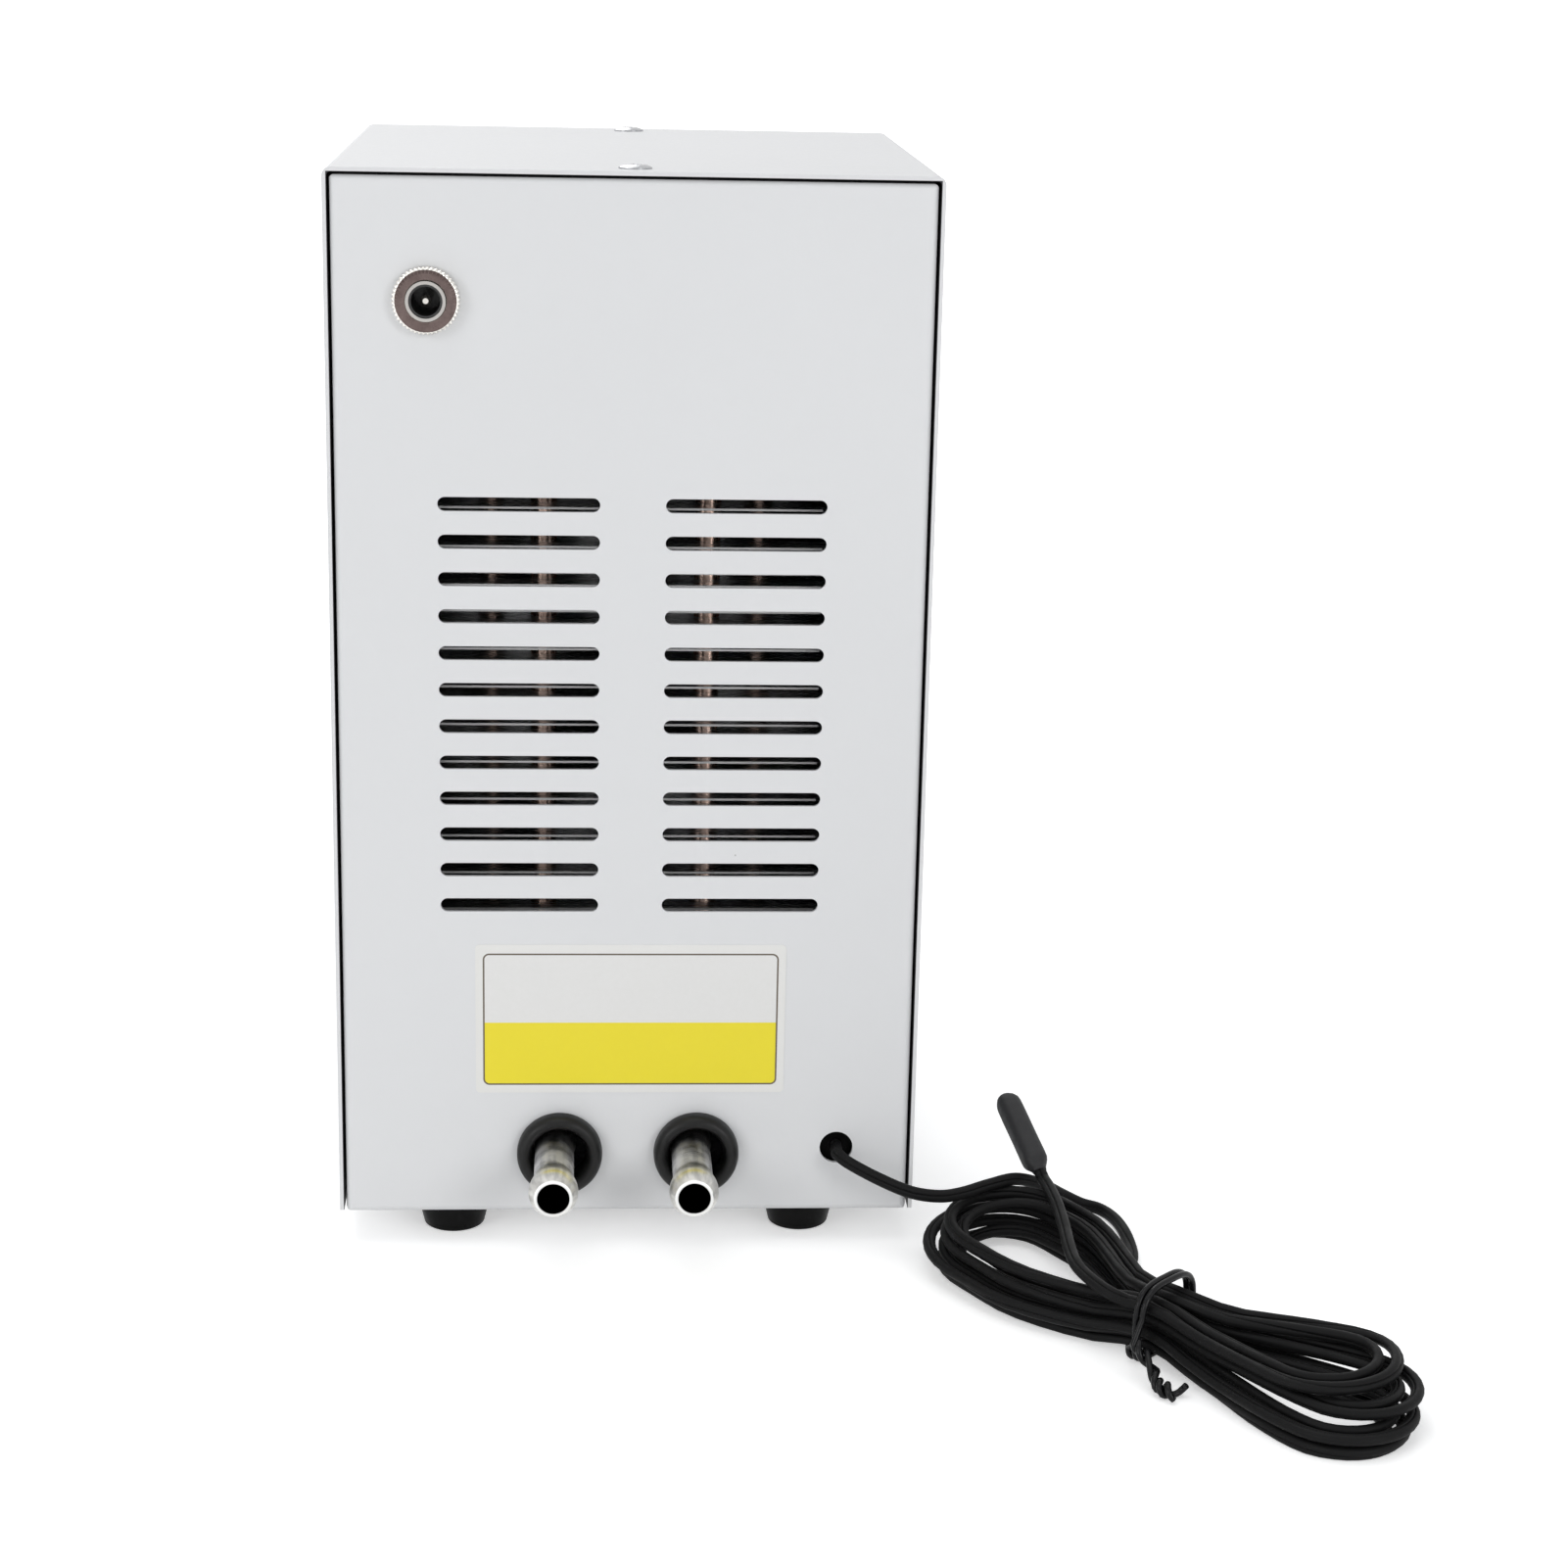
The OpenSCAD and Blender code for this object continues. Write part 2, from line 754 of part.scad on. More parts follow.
// Rubber grommets that line the two tube holes: a domed flange outside, a groove, a flat flange inside
module grommets() {
    bore_r = grommet_bore / 2;
    outer_r = grommet_d / 2;
    groove_r = grommet_groove_d / 2 - snug;
    crown = outer_r - bore_r;
    dome = [for (i = [0:10])
                let (a = 180 * i / 10, lift = sin(a))
                [outer_r - crown * (1 - cos(a)) / 2,
                 grommet_proud * (grommet_edge_share + (1 - grommet_edge_share) * lift)]];
    profile = concat([[bore_r, -sheet_t - grommet_back], [outer_r - 0.5 * crown / 2, -sheet_t - grommet_back],
                      [outer_r - 0.5 * crown / 2, -sheet_t], [groove_r, -sheet_t], [groove_r, 0],
                      [outer_r, 0]], dome);
    color("dimgray")
    for (x = [-1, 1])
        facing_rear(x * tube_pitch / 2, rear_y, tube_z)
            rotate_extrude()
                polygon(profile);
}

// Aluminium water tube: pushed into the cold block, with a bead and a tapered nose for the hose
nose_len = 3;
bead_len = 3.5;
nose_tip_d = 9.3;
bead_land = 0.8;
module water_tube(x) {
    start = block_rear_y - tube_seat;
    reach = rear_y + tube_reach - start;
    bead_start = reach - nose_len - bead_land - bead_len;
    rise = [for (i = [0:5])
                [(tube_d + (bead_d - tube_d) * smooth(i / 5)) / 2, bead_start + bead_len * i / 5]];
    nose = [for (i = [0:5])
                [(nose_tip_d + (bead_d - nose_tip_d) * cos(90 * i / 5)) / 2, reach - nose_len * (1 - i / 5)]];
    outline = concat([[0, 0], [tube_d / 2, 0]], rise, nose, [[0, reach]]);
    color("lightgray")
    facing_rear(x, start, tube_z)
        difference() {
            rotate_extrude()
                polygon(outline);
            translate([0, 0, -over])
                cylinder(h = reach + 2 * over, d = tube_bore);
        }
}

module water_inlet_tube() {
    water_tube(tube_x[0]);
}

module water_outlet_tube() {
    water_tube(tube_x[1]);
}

module rear_label() {
    color("gold")
    along_y(rear_y, label_t)
        translate([label_x, label_z])
            round_rect(label_w, label_h, label_corner_r);
}

// Block that the tank's water flows through: in by one bore, across, and out by the other
module cold_block() {
    color("silver")
    difference() {
        translate([core_x - block_w / 2, core_y - block_d / 2, block_z])
            cube([block_w, block_d, block_h]);
        for (x = tube_x) {
            facing_rear(x, block_rear_y - tube_seat, tube_z)
                cylinder(h = tube_seat + over, d = tube_d + 2 * snug);
            facing_rear(x, block_rear_y - bore_len, tube_z)
                cylinder(h = bore_len, d = tube_bore);
        }
        translate([tube_x[1], block_rear_y - bore_len + tube_bore / 2, tube_z])
            rotate([0, 90, 0])
                cylinder(h = tube_pitch, d = cross_bore_d);
    }
}

// Foam tray that keeps the cold block off the warm housing
module block_insulation() {
    color("darkslategray")
    difference() {
        translate([core_x - block_w / 2 - foam_wall, core_y - block_d / 2 - foam_wall, floor_z])
            cube([block_w + 2 * foam_wall, block_d + 2 * foam_wall, block_top - floor_z]);
        translate([core_x - block_w / 2 - snug, core_y - block_d / 2 - snug, block_z])
            cube([block_w + 2 * snug, block_d + 2 * snug, block_h + over]);
        for (x = tube_x)
            facing_rear(x, core_y, tube_z)
                cylinder(h = block_d, d = tube_d + 2 * foam_hole_gap);
    }
}

// Cooling module: rows of pellets between two ceramic plates
module thermoelectric_module() {
    step = (module_w - pellet_w - 2 * ceramic_t) / (pellet_rows - 1);
    color("white")
    translate([core_x - module_w / 2, core_y - module_w / 2, block_top]) {
        cube([module_w, module_w, ceramic_t]);
        translate([0, 0, module_t - ceramic_t])
            cube([module_w, module_w, ceramic_t]);
        for (i = [0:pellet_rows - 1], j = [0:pellet_rows - 1])
            translate([ceramic_t + i * step, ceramic_t + j * step, ceramic_t])
                cube([pellet_w, pellet_w, module_t - 2 * ceramic_t]);
    }
}

// Foam frame around the cooling module, with a slit in front for the module's two wires
module module_gasket() {
    hole = module_w + 2 * gasket_gap;
    slit = 4 * wire_d;
    color("darkslategray")
    translate([core_x, core_y, block_top])
        difference() {
            translate([-block_w / 2, -block_d / 2, 0])
                cube([block_w, block_d, module_t - 2 * snug]);
            translate([-hole / 2, -hole / 2, -over])
                cube([hole, hole, module_t + 2 * over]);
            translate([hole / 2 - slit - over, -block_d / 2 - over, -over])
                cube([slit, (block_d - hole) / 2 + 2 * over, module_t + 2 * over]);
        }
}

module pipe_grooves(length) {
    for (k = [0:3])
        translate([-length / 2, (k - 1.5) * pipe_pitch, 0])
            rotate([0, 90, 0])
                cylinder(h = length, d = pipe_d + 2 * snug);
}

module heatsink_base() {
    color("silver")
    translate([core_x, core_y, pipe_z])
        difference() {
            translate([-base_w / 2, -base_d / 2, -base_t])
                cube([base_w, base_d, base_t]);
            pipe_grooves(base_w + 2 * over);
        }
}

module pipe_saddle() {
    color("silver")
    translate([core_x, core_y, pipe_z])
        difference() {
            translate([-saddle_w / 2, -saddle_d / 2, 0])
                cube([saddle_w, saddle_d, saddle_t]);
            pipe_grooves(saddle_w + 2 * over);
        }
}

// Four U-shaped copper pipes: flat along the base, bent up, straight through every fin
module heat_pipes() {
    top = fin_z + stack_h + pipe_rise;
    color("peru")
    for (k = [0:3]) {
        column = k % 2 == 0 ? column_outer : column_inner;
        bend = k % 2 == 0 ? bend_outer : bend_inner;
        run = column - bend;
        translate([core_x, core_y + (k - 1.5) * pipe_pitch, pipe_z]) {
            translate([-run, 0, 0])
                rotate([0, 90, 0])
                    cylinder(h = 2 * run, d = pipe_d);
            for (side = [0, 1])
                mirror([side, 0, 0]) {
                    translate([run, 0, bend])
                        rotate([90, 0, 0])
                            rotate([0, 0, -90])
                                rotate_extrude(angle = 90)
                                    translate([bend, 0])
                                        circle(d = pipe_d);
                    translate([column, 0, bend])
                        cylinder(h = top - pipe_z - bend, d = pipe_d);
                    translate([column, 0, top - pipe_z])
                        cylinder(h = pipe_tip, d1 = pipe_d, d2 = pipe_tip_d);
                }
        }
    }
}

// Stack of thin aluminium fins, each pierced by the eight pipe legs and notched for the fan's clips
module fin_stack() {
    half_w = fin_w / 2;
    half_d = fin_d / 2;
    color("gainsboro")
    for (i = [0:fin_count - 1])
        translate([core_x, core_y, fin_z + i * fin_pitch])
            linear_extrude(fin_t)
                difference() {
                    polygon([[half_w - fin_chamfer, -half_d], [half_w, -half_d + fin_chamfer],
                             [half_w, half_d - fin_chamfer], [half_w - fin_chamfer, half_d],
                             [-half_w + fin_chamfer, half_d], [-half_w, half_d - fin_chamfer],
                             [-half_w, -half_d + fin_chamfer], [-half_w + fin_chamfer, -half_d]]);
                    for (k = [0:3], side = [-1, 1])
                        translate([side * (k % 2 == 0 ? column_outer : column_inner),
                                   (k - 1.5) * pipe_pitch])
                            circle(d = pipe_d + 2 * snug);
                    for (side = [-1, 1])
                        translate([side * half_w, 0])
                            square([2 * clip_d + 2 * snug, clip_d + 2 * near], center = true);
                }
}

// Two steel bars across the base plate, drawn down by screws into posts on the housing's floor
module at_hold_downs() {
    for (y = [-bar_y, bar_y], x = [-post_x, post_x])
        translate([core_x + x, core_y + y, 0])
            children();
}

module hold_down_bars() {
    color("silver")
    difference() {
        for (y = [-bar_y, bar_y])
            translate([core_x - bar_reach, core_y + y - bar_w / 2, pipe_z])
                cube([2 * bar_reach, bar_w, bar_t]);
        translate([0, 0, pipe_z - over])
            at_hold_downs()
                cylinder(h = bar_t + 2 * over, d = screw_hole_d);
    }
}

module hold_down_screws() {
    color("silver")
    translate([0, 0, pipe_z + bar_t])
        at_hold_downs()
            pan_screw(hold_screw_len);
}

module hold_down_posts() {
    color("silver")
    at_hold_downs()
        difference() {
            translate([0, 0, floor_z])
                cylinder(h = pipe_z - floor_z, d = post_d);
            translate([0, 0, pipe_z - post_hole_depth])
                cylinder(h = post_hole_depth + over, d = screw_hole_d);
        }
}

// The fan's own axis: zero at its rear face, upwards towards the housing's front
module in_fan() {
    translate([core_x, fan_rear_y, fan_z])
        rotate([90, 0, 0])
            children();
}

module fan_frame() {
    module holed_flange() {
        linear_extrude(fan_flange_t)
            difference() {
                round_rect(fan_size, fan_size, fan_corner_r);
                for (x = [-1, 1], y = [-1, 1])
                    translate([x * fan_hole, y * fan_hole])
                        circle(d = fan_hole_d);
            }
    }
    color("dimgray")
    in_fan() {
        difference() {
            union() {
                holed_flange();
                translate([0, 0, fan_t - fan_flange_t])
                    holed_flange();
                cylinder(h = fan_t, d = duct_d + 2 * fan_wall);
            }
            translate([0, 0, -over])
                cylinder(h = fan_t + 2 * over, d = duct_d);
            translate([-fan_size, fan_size / 2, -over])
                cube([2 * fan_size, fan_wall + over, fan_t + 2 * over]);
        }
        difference() {
            union() {
                cylinder(h = motor_base_t, d = hub_d);
                cylinder(h = motor_base_t + bearing_tube_len, d = bearing_tube_d);
                for (turn = [45:90:315])
                    rotate(turn)
                        translate([hub_d / 2 - over, -strut_w / 2, 0])
                            cube([duct_d / 2 - hub_d / 2 + over + fan_wall / 2, strut_w, motor_base_t]);
            }
            translate([0, 0, motor_floor_t])
                cylinder(h = motor_base_t + bearing_tube_len, d = bearing_d + 2 * snug);
        }
    }
}

module fan_bearing() {
    color("goldenrod")
    in_fan()
        translate([0, 0, bearing_start])
            ring(bearing_d, shaft_d + 2 * bearing_play, bearing_len);
}

module fan_shaft() {
    color("silver")
    in_fan()
        translate([0, 0, shaft_start])
            cylinder(h = rotor_top - hub_face_t / 2 - shaft_start, d = shaft_d);
}

module fan_retaining_ring() {
    color("silver")
    in_fan()
        translate([0, 0, ring_start])
            ring(ring_d, shaft_d + 2 * snug, ring_t);
}

module rotor_magnet() {
    outer = hub_d - 2 * hub_wall - 2 * snug;
    color("darkgray")
    in_fan()
        translate([0, 0, hub_start + near])
            ring(outer, outer - 2 * magnet_t, magnet_len);
}

module fan_stator() {
    color("chocolate")
    in_fan() {
        translate([0, 0, stator_start])
            difference() {
                ring(stator_d, bearing_tube_d + 2 * snug, stator_h);
                for (turn = [0:360 / stator_slots:359])
                    rotate(turn)
                        translate([stator_core_d / 2, -stator_slot_w / 2, -over])
                            cube([stator_d, stator_slot_w, stator_h + 2 * over]);
            }
        translate([0, 0, circuit_start])
            ring(circuit_d, bearing_tube_d + 2 * snug, circuit_t);
    }
}

// One curved fan blade, as a grid of places: along the span, along the chord, and on its two faces
function blade_place(span, chord, face) =
    let (root = hub_d / 2 - hub_wall / 2,
         r = root + span * (duct_d / 2 - blade_tip_gap - root),
         angle = blade_root_angle + span * (blade_tip_angle - blade_root_angle),
         length = blade_root_chord + span * (blade_tip_chord - blade_root_chord),
         s = (chord - 0.5) * length,
         bow = blade_camber_share * length * (1 - pow(2 * chord - 1, 2)),
         half = (face - 0.5) * blade_t * (1 - 0.7 * pow(2 * chord - 1, 2)),
         around = s * cos(angle) + (bow + half) * sin(angle),
         rise = s * sin(angle) - (bow + half) * cos(angle),
         turn = around / r * 180 / PI + 8 * span)
    [r * cos(turn), r * sin(turn), blade_mid + rise];

module blade() {
    n = blade_points + 1;
    m = blade_stations + 1;
    places = [for (f = [0, 1], i = [0:blade_stations], j = [0:blade_points])
                  blade_place(i / blade_stations, j / blade_points, f)];
    faces = [for (f = [0, 1], i = [0:m - 2], j = [0:n - 2], k = [0, 1])
                 let (a = f * m * n + i * n + j, b = a + 1, c = a + n, d = c + 1)
                 f == 0 ? (k == 0 ? [a, b, d] : [a, d, c]) : (k == 0 ? [a, d, b] : [a, c, d])];
    chord_edges = [for (e = [0, m - 1], j = [0:n - 2], k = [0, 1])
                       let (a = e * n + j, b = a + 1, c = a + m * n, d = b + m * n)
                       e == 0 ? (k == 0 ? [a, c, d] : [a, d, b]) : (k == 0 ? [a, d, c] : [a, b, d])];
    span_edges = [for (e = [0, n - 1], i = [0:m - 2], k = [0, 1])
                      let (a = i * n + e, b = a + n, c = a + m * n, d = b + m * n)
                      e == 0 ? (k == 0 ? [a, d, c] : [a, b, d]) : (k == 0 ? [a, c, d] : [a, d, b])];
    polyhedron(places, concat(faces, chord_edges, span_edges));
}

module fan_rotor() {
    boss_start = motor_base_t + bearing_tube_len + hub_boss_gap;
    color("black")
    in_fan() {
        difference() {
            union() {
                difference() {
                    translate([0, 0, hub_start])
                        cylinder(h = rotor_top - hub_start, d = hub_d);
                    translate([0, 0, hub_start - over])
                        cylinder(h = rotor_top - hub_start - hub_face_t + over,
                                 d = hub_d - 2 * hub_wall);
                }
                translate([0, 0, boss_start])
                    cylinder(h = rotor_top - hub_face_t / 2 - boss_start, d = hub_boss_d);
            }
            cylinder(h = rotor_top - hub_face_t / 2 + snug, d = shaft_d + 2 * snug);
        }
        for (turn = [0:360 / blade_count:359])
            rotate(turn)
                blade();
    }
}

// Spring wire clips: hooked in the fan's front corner holes, lying in the fins' side notches
module fan_clips() {
    leg = (floor(fan_hole / fin_pitch) + (fin_count % 2 == 1 ? 0.5 : 0)) * fin_pitch;
    front = fan_t + clip_d / 2 + near;
    rear = -(fan_rear_y - core_y);
    side = fin_w / 2 - clip_d / 2;
    run = [[fan_hole, leg, fan_t - fan_flange_t], [fan_hole, leg, front], [side, leg, front],
           [side, leg, rear], [side, -leg, rear], [side, -leg, front], [fan_hole, -leg, front],
           [fan_hole, -leg, fan_t - fan_flange_t]];
    color("silver")
    in_fan()
        for (turn = [0, 1])
            mirror([turn, 0, 0])
                tube(rounded_run(run, 2 * clip_d), clip_d - 2 * snug, 6, [0.1, 1, 0.05]);
}

// Control panel, moulded in one with the case behind it, held in its cut-out by two clips
module controller_case() {
    color("darkslategray")
    difference() {
        union() {
            along_y(front_y - bezel_proud, bezel_proud)
                translate([0, panel_z])
                    round_rect(panel_w, panel_h, face_corner_r);
            along_y(front_y, case_d)
                translate([0, panel_z])
                    square([case_w, case_h], center = true);
        }
        along_y(front_y, case_d + over)
            translate([0, panel_z])
                square([case_w - 2 * case_wall, case_h - 2 * case_wall], center = true);
        along_y(front_y - bezel_proud - over, bezel_proud + 2 * over)
            translate([window_x, panel_z])
                square([window_w - 2 * window_lip, window_h - 2 * window_lip], center = true);
        along_y(front_y - bezel_proud - over, lens_t + over)
            translate([window_x, panel_z])
                square([window_w, window_h], center = true);
        for (x = button_x)
            facing_rear(x, front_y - bezel_proud - over, panel_z)
                cylinder(h = bezel_proud + 2 * over, d = button_d + 2 * button_gap);
    }
}

module controller_back() {
    color("darkslategray")
    along_y(front_y + case_d, back_t)
        translate([0, panel_z])
            square([case_w, case_h], center = true);
}

module controller_clips() {
    color("darkorange")
    for (side = [-1, 1])
        translate([side * (case_w + clip_w) / 2, front_y + sheet_t + clip_len / 2, panel_z])
            difference() {
                cube([clip_w, clip_len, clip_h], center = true);
                translate([side * clip_w / 2, clip_len / 4, 0])
                    cube([clip_w, clip_len / 2 + over, clip_h + over], center = true);
            }
}

module display_lens() {
    color("maroon")
    along_y(front_y - bezel_proud, lens_t)
        translate([window_x, panel_z])
            square([window_w - 2 * snug, window_h - 2 * snug], center = true);
}

module display_module() {
    color("black")
    along_y(front_y + display_gap, display_t)
        translate([window_x, panel_z])
            square([display_w, display_h], center = true);
}

module controller_board() {
    color("green")
    along_y(board_y, board_t)
        translate([0, panel_z])
            square([case_w - 2 * case_wall - 2 * snug, case_h - 2 * case_wall - 2 * snug],
                   center = true);
}

module tact_switches() {
    color("black")
    for (x = button_x) {
        along_y(board_y - switch_h, switch_h)
            translate([x, panel_z])
                square(switch_w, center = true);
        facing_rear(x, board_y - switch_h - switch_pin_h, panel_z)
            cylinder(h = switch_pin_h, d = switch_pin_d);
    }
}

module terminal_block() {
    color("seagreen")
    difference() {
        along_y(front_y + case_d + back_t, terminal_d)
            translate([0, panel_z])
                square([terminal_w, terminal_h], center = true);
        for (i = [-3:3])
            translate([i * terminal_pitch, terminal_y - terminal_d / 2, panel_z + terminal_h / 4])
                cylinder(h = terminal_h, d = terminal_pitch / 2);
    }
}

// Button: cap through the face, flange behind it, stem towards its switch
module button(x) {
    stem_end = board_y - switch_h - switch_pin_h - button_travel - switch_gap;
    color("silver")
    facing_rear(x, front_y - front_proud, panel_z) {
        cylinder(h = button_proud * 0.3, d1 = button_d - button_proud * 0.6, d2 = button_d);
        translate([0, 0, button_proud * 0.3])
            cylinder(h = front_proud - button_proud * 0.3 + snug, d = button_d);
        translate([0, 0, front_proud + snug])
            cylinder(h = button_flange_t, d = button_flange_d);
        translate([0, 0, front_proud])
            cylinder(h = stem_end - front_y, d = stem_d);
    }
}

module set_button() {
    button(button_x[0]);
}

module up_button() {
    button(button_x[1]);
}

module down_button() {
    button(button_x[2]);
}

// Collar clamped on the sensor lead behind its hole, so that a pull doesn't reach the terminals
module lead_retainer() {
    color("black")
    facing_rear(lead_x, rear_y - sheet_t - retainer_gap - retainer_t, lead_z)
        ring(retainer_d, lead_d + 2 * snug, retainer_t);
}

// Wires inside the housing, each a smooth run from its piece to its terminal. It leaves its piece
// straight, in a given direction, and ends straight too, square to the terminal block. Those that
// cross the tower do so level with the terminals, but clear of the pipes' tips.
function terminal(i) = [i * terminal_pitch, terminal_y, panel_z];
crossing_z = max(panel_z, tower_top + terminal_pitch);

module wire(from, leaving, straight, via, to, d) {
    tube(curve(concat([from, from + straight / 2 * leaving, from + straight * leaving], via,
                      [to + [0, 2 * d, 0], to + [0, d, 0], to]), 4),
         d, 8, [1, 0.3, 0.2]);
}

module sensor_lead_inner() {
    wall_x = (core_x - fin_w / 2 - body_w / 2 + sheet_t) / 2;
    post_rear = core_y + bar_y + post_d / 2;
    color("black")
    wire([lead_x, rear_y - sheet_t, lead_z], [0, -1, 0], (rear_y - sheet_t - post_rear) / 2,
         [[wall_x, rear_y - 2 * flange, lead_z + 2 * retainer_d],
          [wall_x, rear_y - flange, fan_z],
          [wall_x, rear_y - flange - lead_d, fin_z + stack_h + pipe_rise],
          [wall_x, core_y, crossing_z],
          [wall_x + terminal_pitch, (core_y + terminal_y) / 2, crossing_z]],
         terminal(-3), lead_d);
}

module power_leads() {
    start_y = rear_y - sheet_t - barrel_back - tab_len - wire_d / 2 - snug;
    color("red")
    for (side = [-1, 1]) {
        end = terminal(side < 0 ? 2 : 3);
        wire([jack_x + side * (wire_d / 2 + near), start_y, jack_z], [0, 0, 1], 4 * wire_d,
             [[jack_x + side * wire_d, core_y, crossing_z],
              [end[0] + terminal_pitch, (core_y + terminal_y) / 2, crossing_z]],
             end, wire_d);
    }
}

module fan_leads() {
    start = [core_x - fan_size / 4, fan_rear_y - fan_t / 2, fan_top];
    crest = max(panel_z - terminal_pitch, fan_top + terminal_pitch);
    color("yellow")
    for (i = [0, 1])
        wire(start + [2 * i * fan_wire_d, 0, 0], [0, 0, 1], 6 * fan_wire_d,
             [[terminal(i - 2)[0], terminal_y + 2 * terminal_pitch, crest]],
             terminal(i - 2), fan_wire_d);
}

module module_leads() {
    edge = [core_x + module_w / 2 - wire_d, core_y - module_w / 2, block_top + module_t / 2];
    wall_x = (core_x + fan_size / 2 + body_w / 2 - sheet_t) / 2;
    front = fan_rear_y - fan_t - 4 * wire_d;
    crest = panel_z - terminal_h;
    color("firebrick")
    for (i = [0, 1])
        wire(edge - [2 * i * wire_d, 0, 0], [0, -1, 0], 6 * wire_d,
             [[wall_x - terminal_pitch, front + 2 * i * wire_d, edge[2] + terminal_pitch],
              [wall_x, front + 2 * i * wire_d, fan_z - fan_size / 4],
              [wall_x, front + 2 * i * wire_d, crest - 3 * terminal_h],
              [(wall_x + terminal(i)[0]) / 2, front + 2 * i * wire_d, crest - terminal_h],
              [terminal(i)[0] + terminal_pitch, terminal_y + 2 * wire_d, crest]],
             terminal(i), wire_d);
}

// Sensor lead outside: a free stretch, a hank of loops drawn in at its waist, and a tail to the sensor
function from_hole(p) = p + [lead_x, rear_y, 0];

// Value of a layer's list at a layer, or between two while the lead climbs
function at_layer(values, layer) =
    let (i = min(floor(layer), hank_layers - 1), j = min(i + 1, hank_layers - 1))
    values[i] + (values[j] - values[i]) * smooth(layer - i);

// Place on the hank after so many turns: each layer spirals inwards or outwards, then climbs
function hank_place(turns) =
    let (layer = [for (k = [1:hank_layers - 1]) smooth((turns - k * hank_layer_turns) / hank_climb + 0.5)]
                 * [for (k = [1:hank_layers - 1]) 1],
         out = hank_layer_turns * abs(1 - (turns / hank_layer_turns) % 2),
         angle = 360 * turns - hank_rings_drawn * sin(720 * turns),
         left = cos(angle) > 0,
         reach = (left ? hank_reach_left : at_layer(hank_reaches_right, layer)) + out * hank_lobe_step,
         a = -cos(angle) * reach,
         taper = smooth(abs(a) / (left ? hank_taper_left : hank_taper_right)),
         lobe = at_layer(left ? hank_lobes_left : hank_lobes_right, layer),
         step = hank_waist_step + (hank_lobe_step - hank_waist_step) * min(1, hank_step_share * taper),
         fold_r = lobe + out * hank_lobe_step,
         fold = sqrt(1 - pow(min(max(abs(a) - reach + fold_r, 0) / fold_r, 1), 2)),
         shift = at_layer(left ? hank_shifts_left : hank_shifts_right, layer),
         bow = left ? hank_bow * smooth(abs(a) / hank_bow_len) : 0,
         b = sign(sin(angle)) * fold * (lobe * taper + out * step) + shift * taper + bow,
         z = lead_d / 2 + hank_lift * (1 - smooth(abs(a) / hank_lift_len)) + hank_layer * layer,
         c = cos(hank_angle),
         s = sin(hank_angle))
    from_hole([hank_waist[0] - a * c - b * s, hank_waist[1] + a * s - b * c, z]);

hank_first = hank_rings_out[0] / hank_rings;
hank_last = hank_layers * hank_layer_turns - hank_rings_out[1] / hank_rings;
hank_steps = round((hank_last - hank_first) * hank_rings);
hank_core = [for (i = [0:hank_steps]) hank_place(hank_first + i / hank_rings)];
hank_in = unit(level(hank_place(hank_first + hank_turn_step) - hank_core[0]));
hank_out = unit(level(hank_place(hank_last + 1 / hank_rings) - hank_core[hank_steps]));
hank_start = hank_core[0] - lead_d * hank_in;
hank_end = hank_core[hank_steps] + lead_d * hank_out;

module sensor_lead() {
    route = concat([for (p = lead_route) from_hole(p)],
                   [hank_start - 3 * lead_d * hank_in, hank_start - 1.5 * lead_d * hank_in, hank_start]);
    color("black")
    tube(curve(route, 4), lead_d, 8, [1, 0.2, 0.3]);
}

module sensor_lead_hank() {
    line = concat([hank_start], hank_core, [hank_end]);
    gap = min([for (i = [0:len(line) - 1], j = [i + hank_rings / 3:1:len(line) - 2])
                   distance_to_segment(line[i], line[j], line[j + 1])]);
    echo("least gap of the hank to itself", gap - lead_d);
    echo("length of the hank", path_length(line));
    color("black")
    tube(line, lead_d, hank_sides);
}

module sensor_lead_tail() {
    foot = from_hole(probe_foot);
    lean = unit(probe_nose - probe_foot);
    route = concat([hank_end, hank_end + lead_d / 2 * hank_out, hank_end + lead_d * hank_out],
                   [for (p = tail_route) from_hole(p)],
                   [foot - lead_d * lean, foot - lead_d / 2 * lean, foot]);
    color("black")
    tube(curve(route, 4), lead_d, 8, [1, 0.2, 0.3]);
}

// Moulded sensor head: a tapered cable end, a straight body and a rounded nose
module sensor_probe() {
    foot = from_hole(probe_foot);
    lean = unit(probe_nose - probe_foot);
    taper = probe_d / 2;
    round_r = probe_d / 3;
    nose = [for (i = [0:6])
                let (a = 90 * i / 6)
                [probe_d / 2 - round_r + round_r * cos(a), probe_len - round_r + round_r * sin(a)]];
    color("dimgray")
    translate(foot)
        rotate([0, acos(lean[2]), atan2(lean[1], lean[0])])
            rotate_extrude()
                polygon(concat([[0, 0], [lead_d / 2, 0], [probe_d / 2, taper]], nose, [[0, probe_len]]));
}

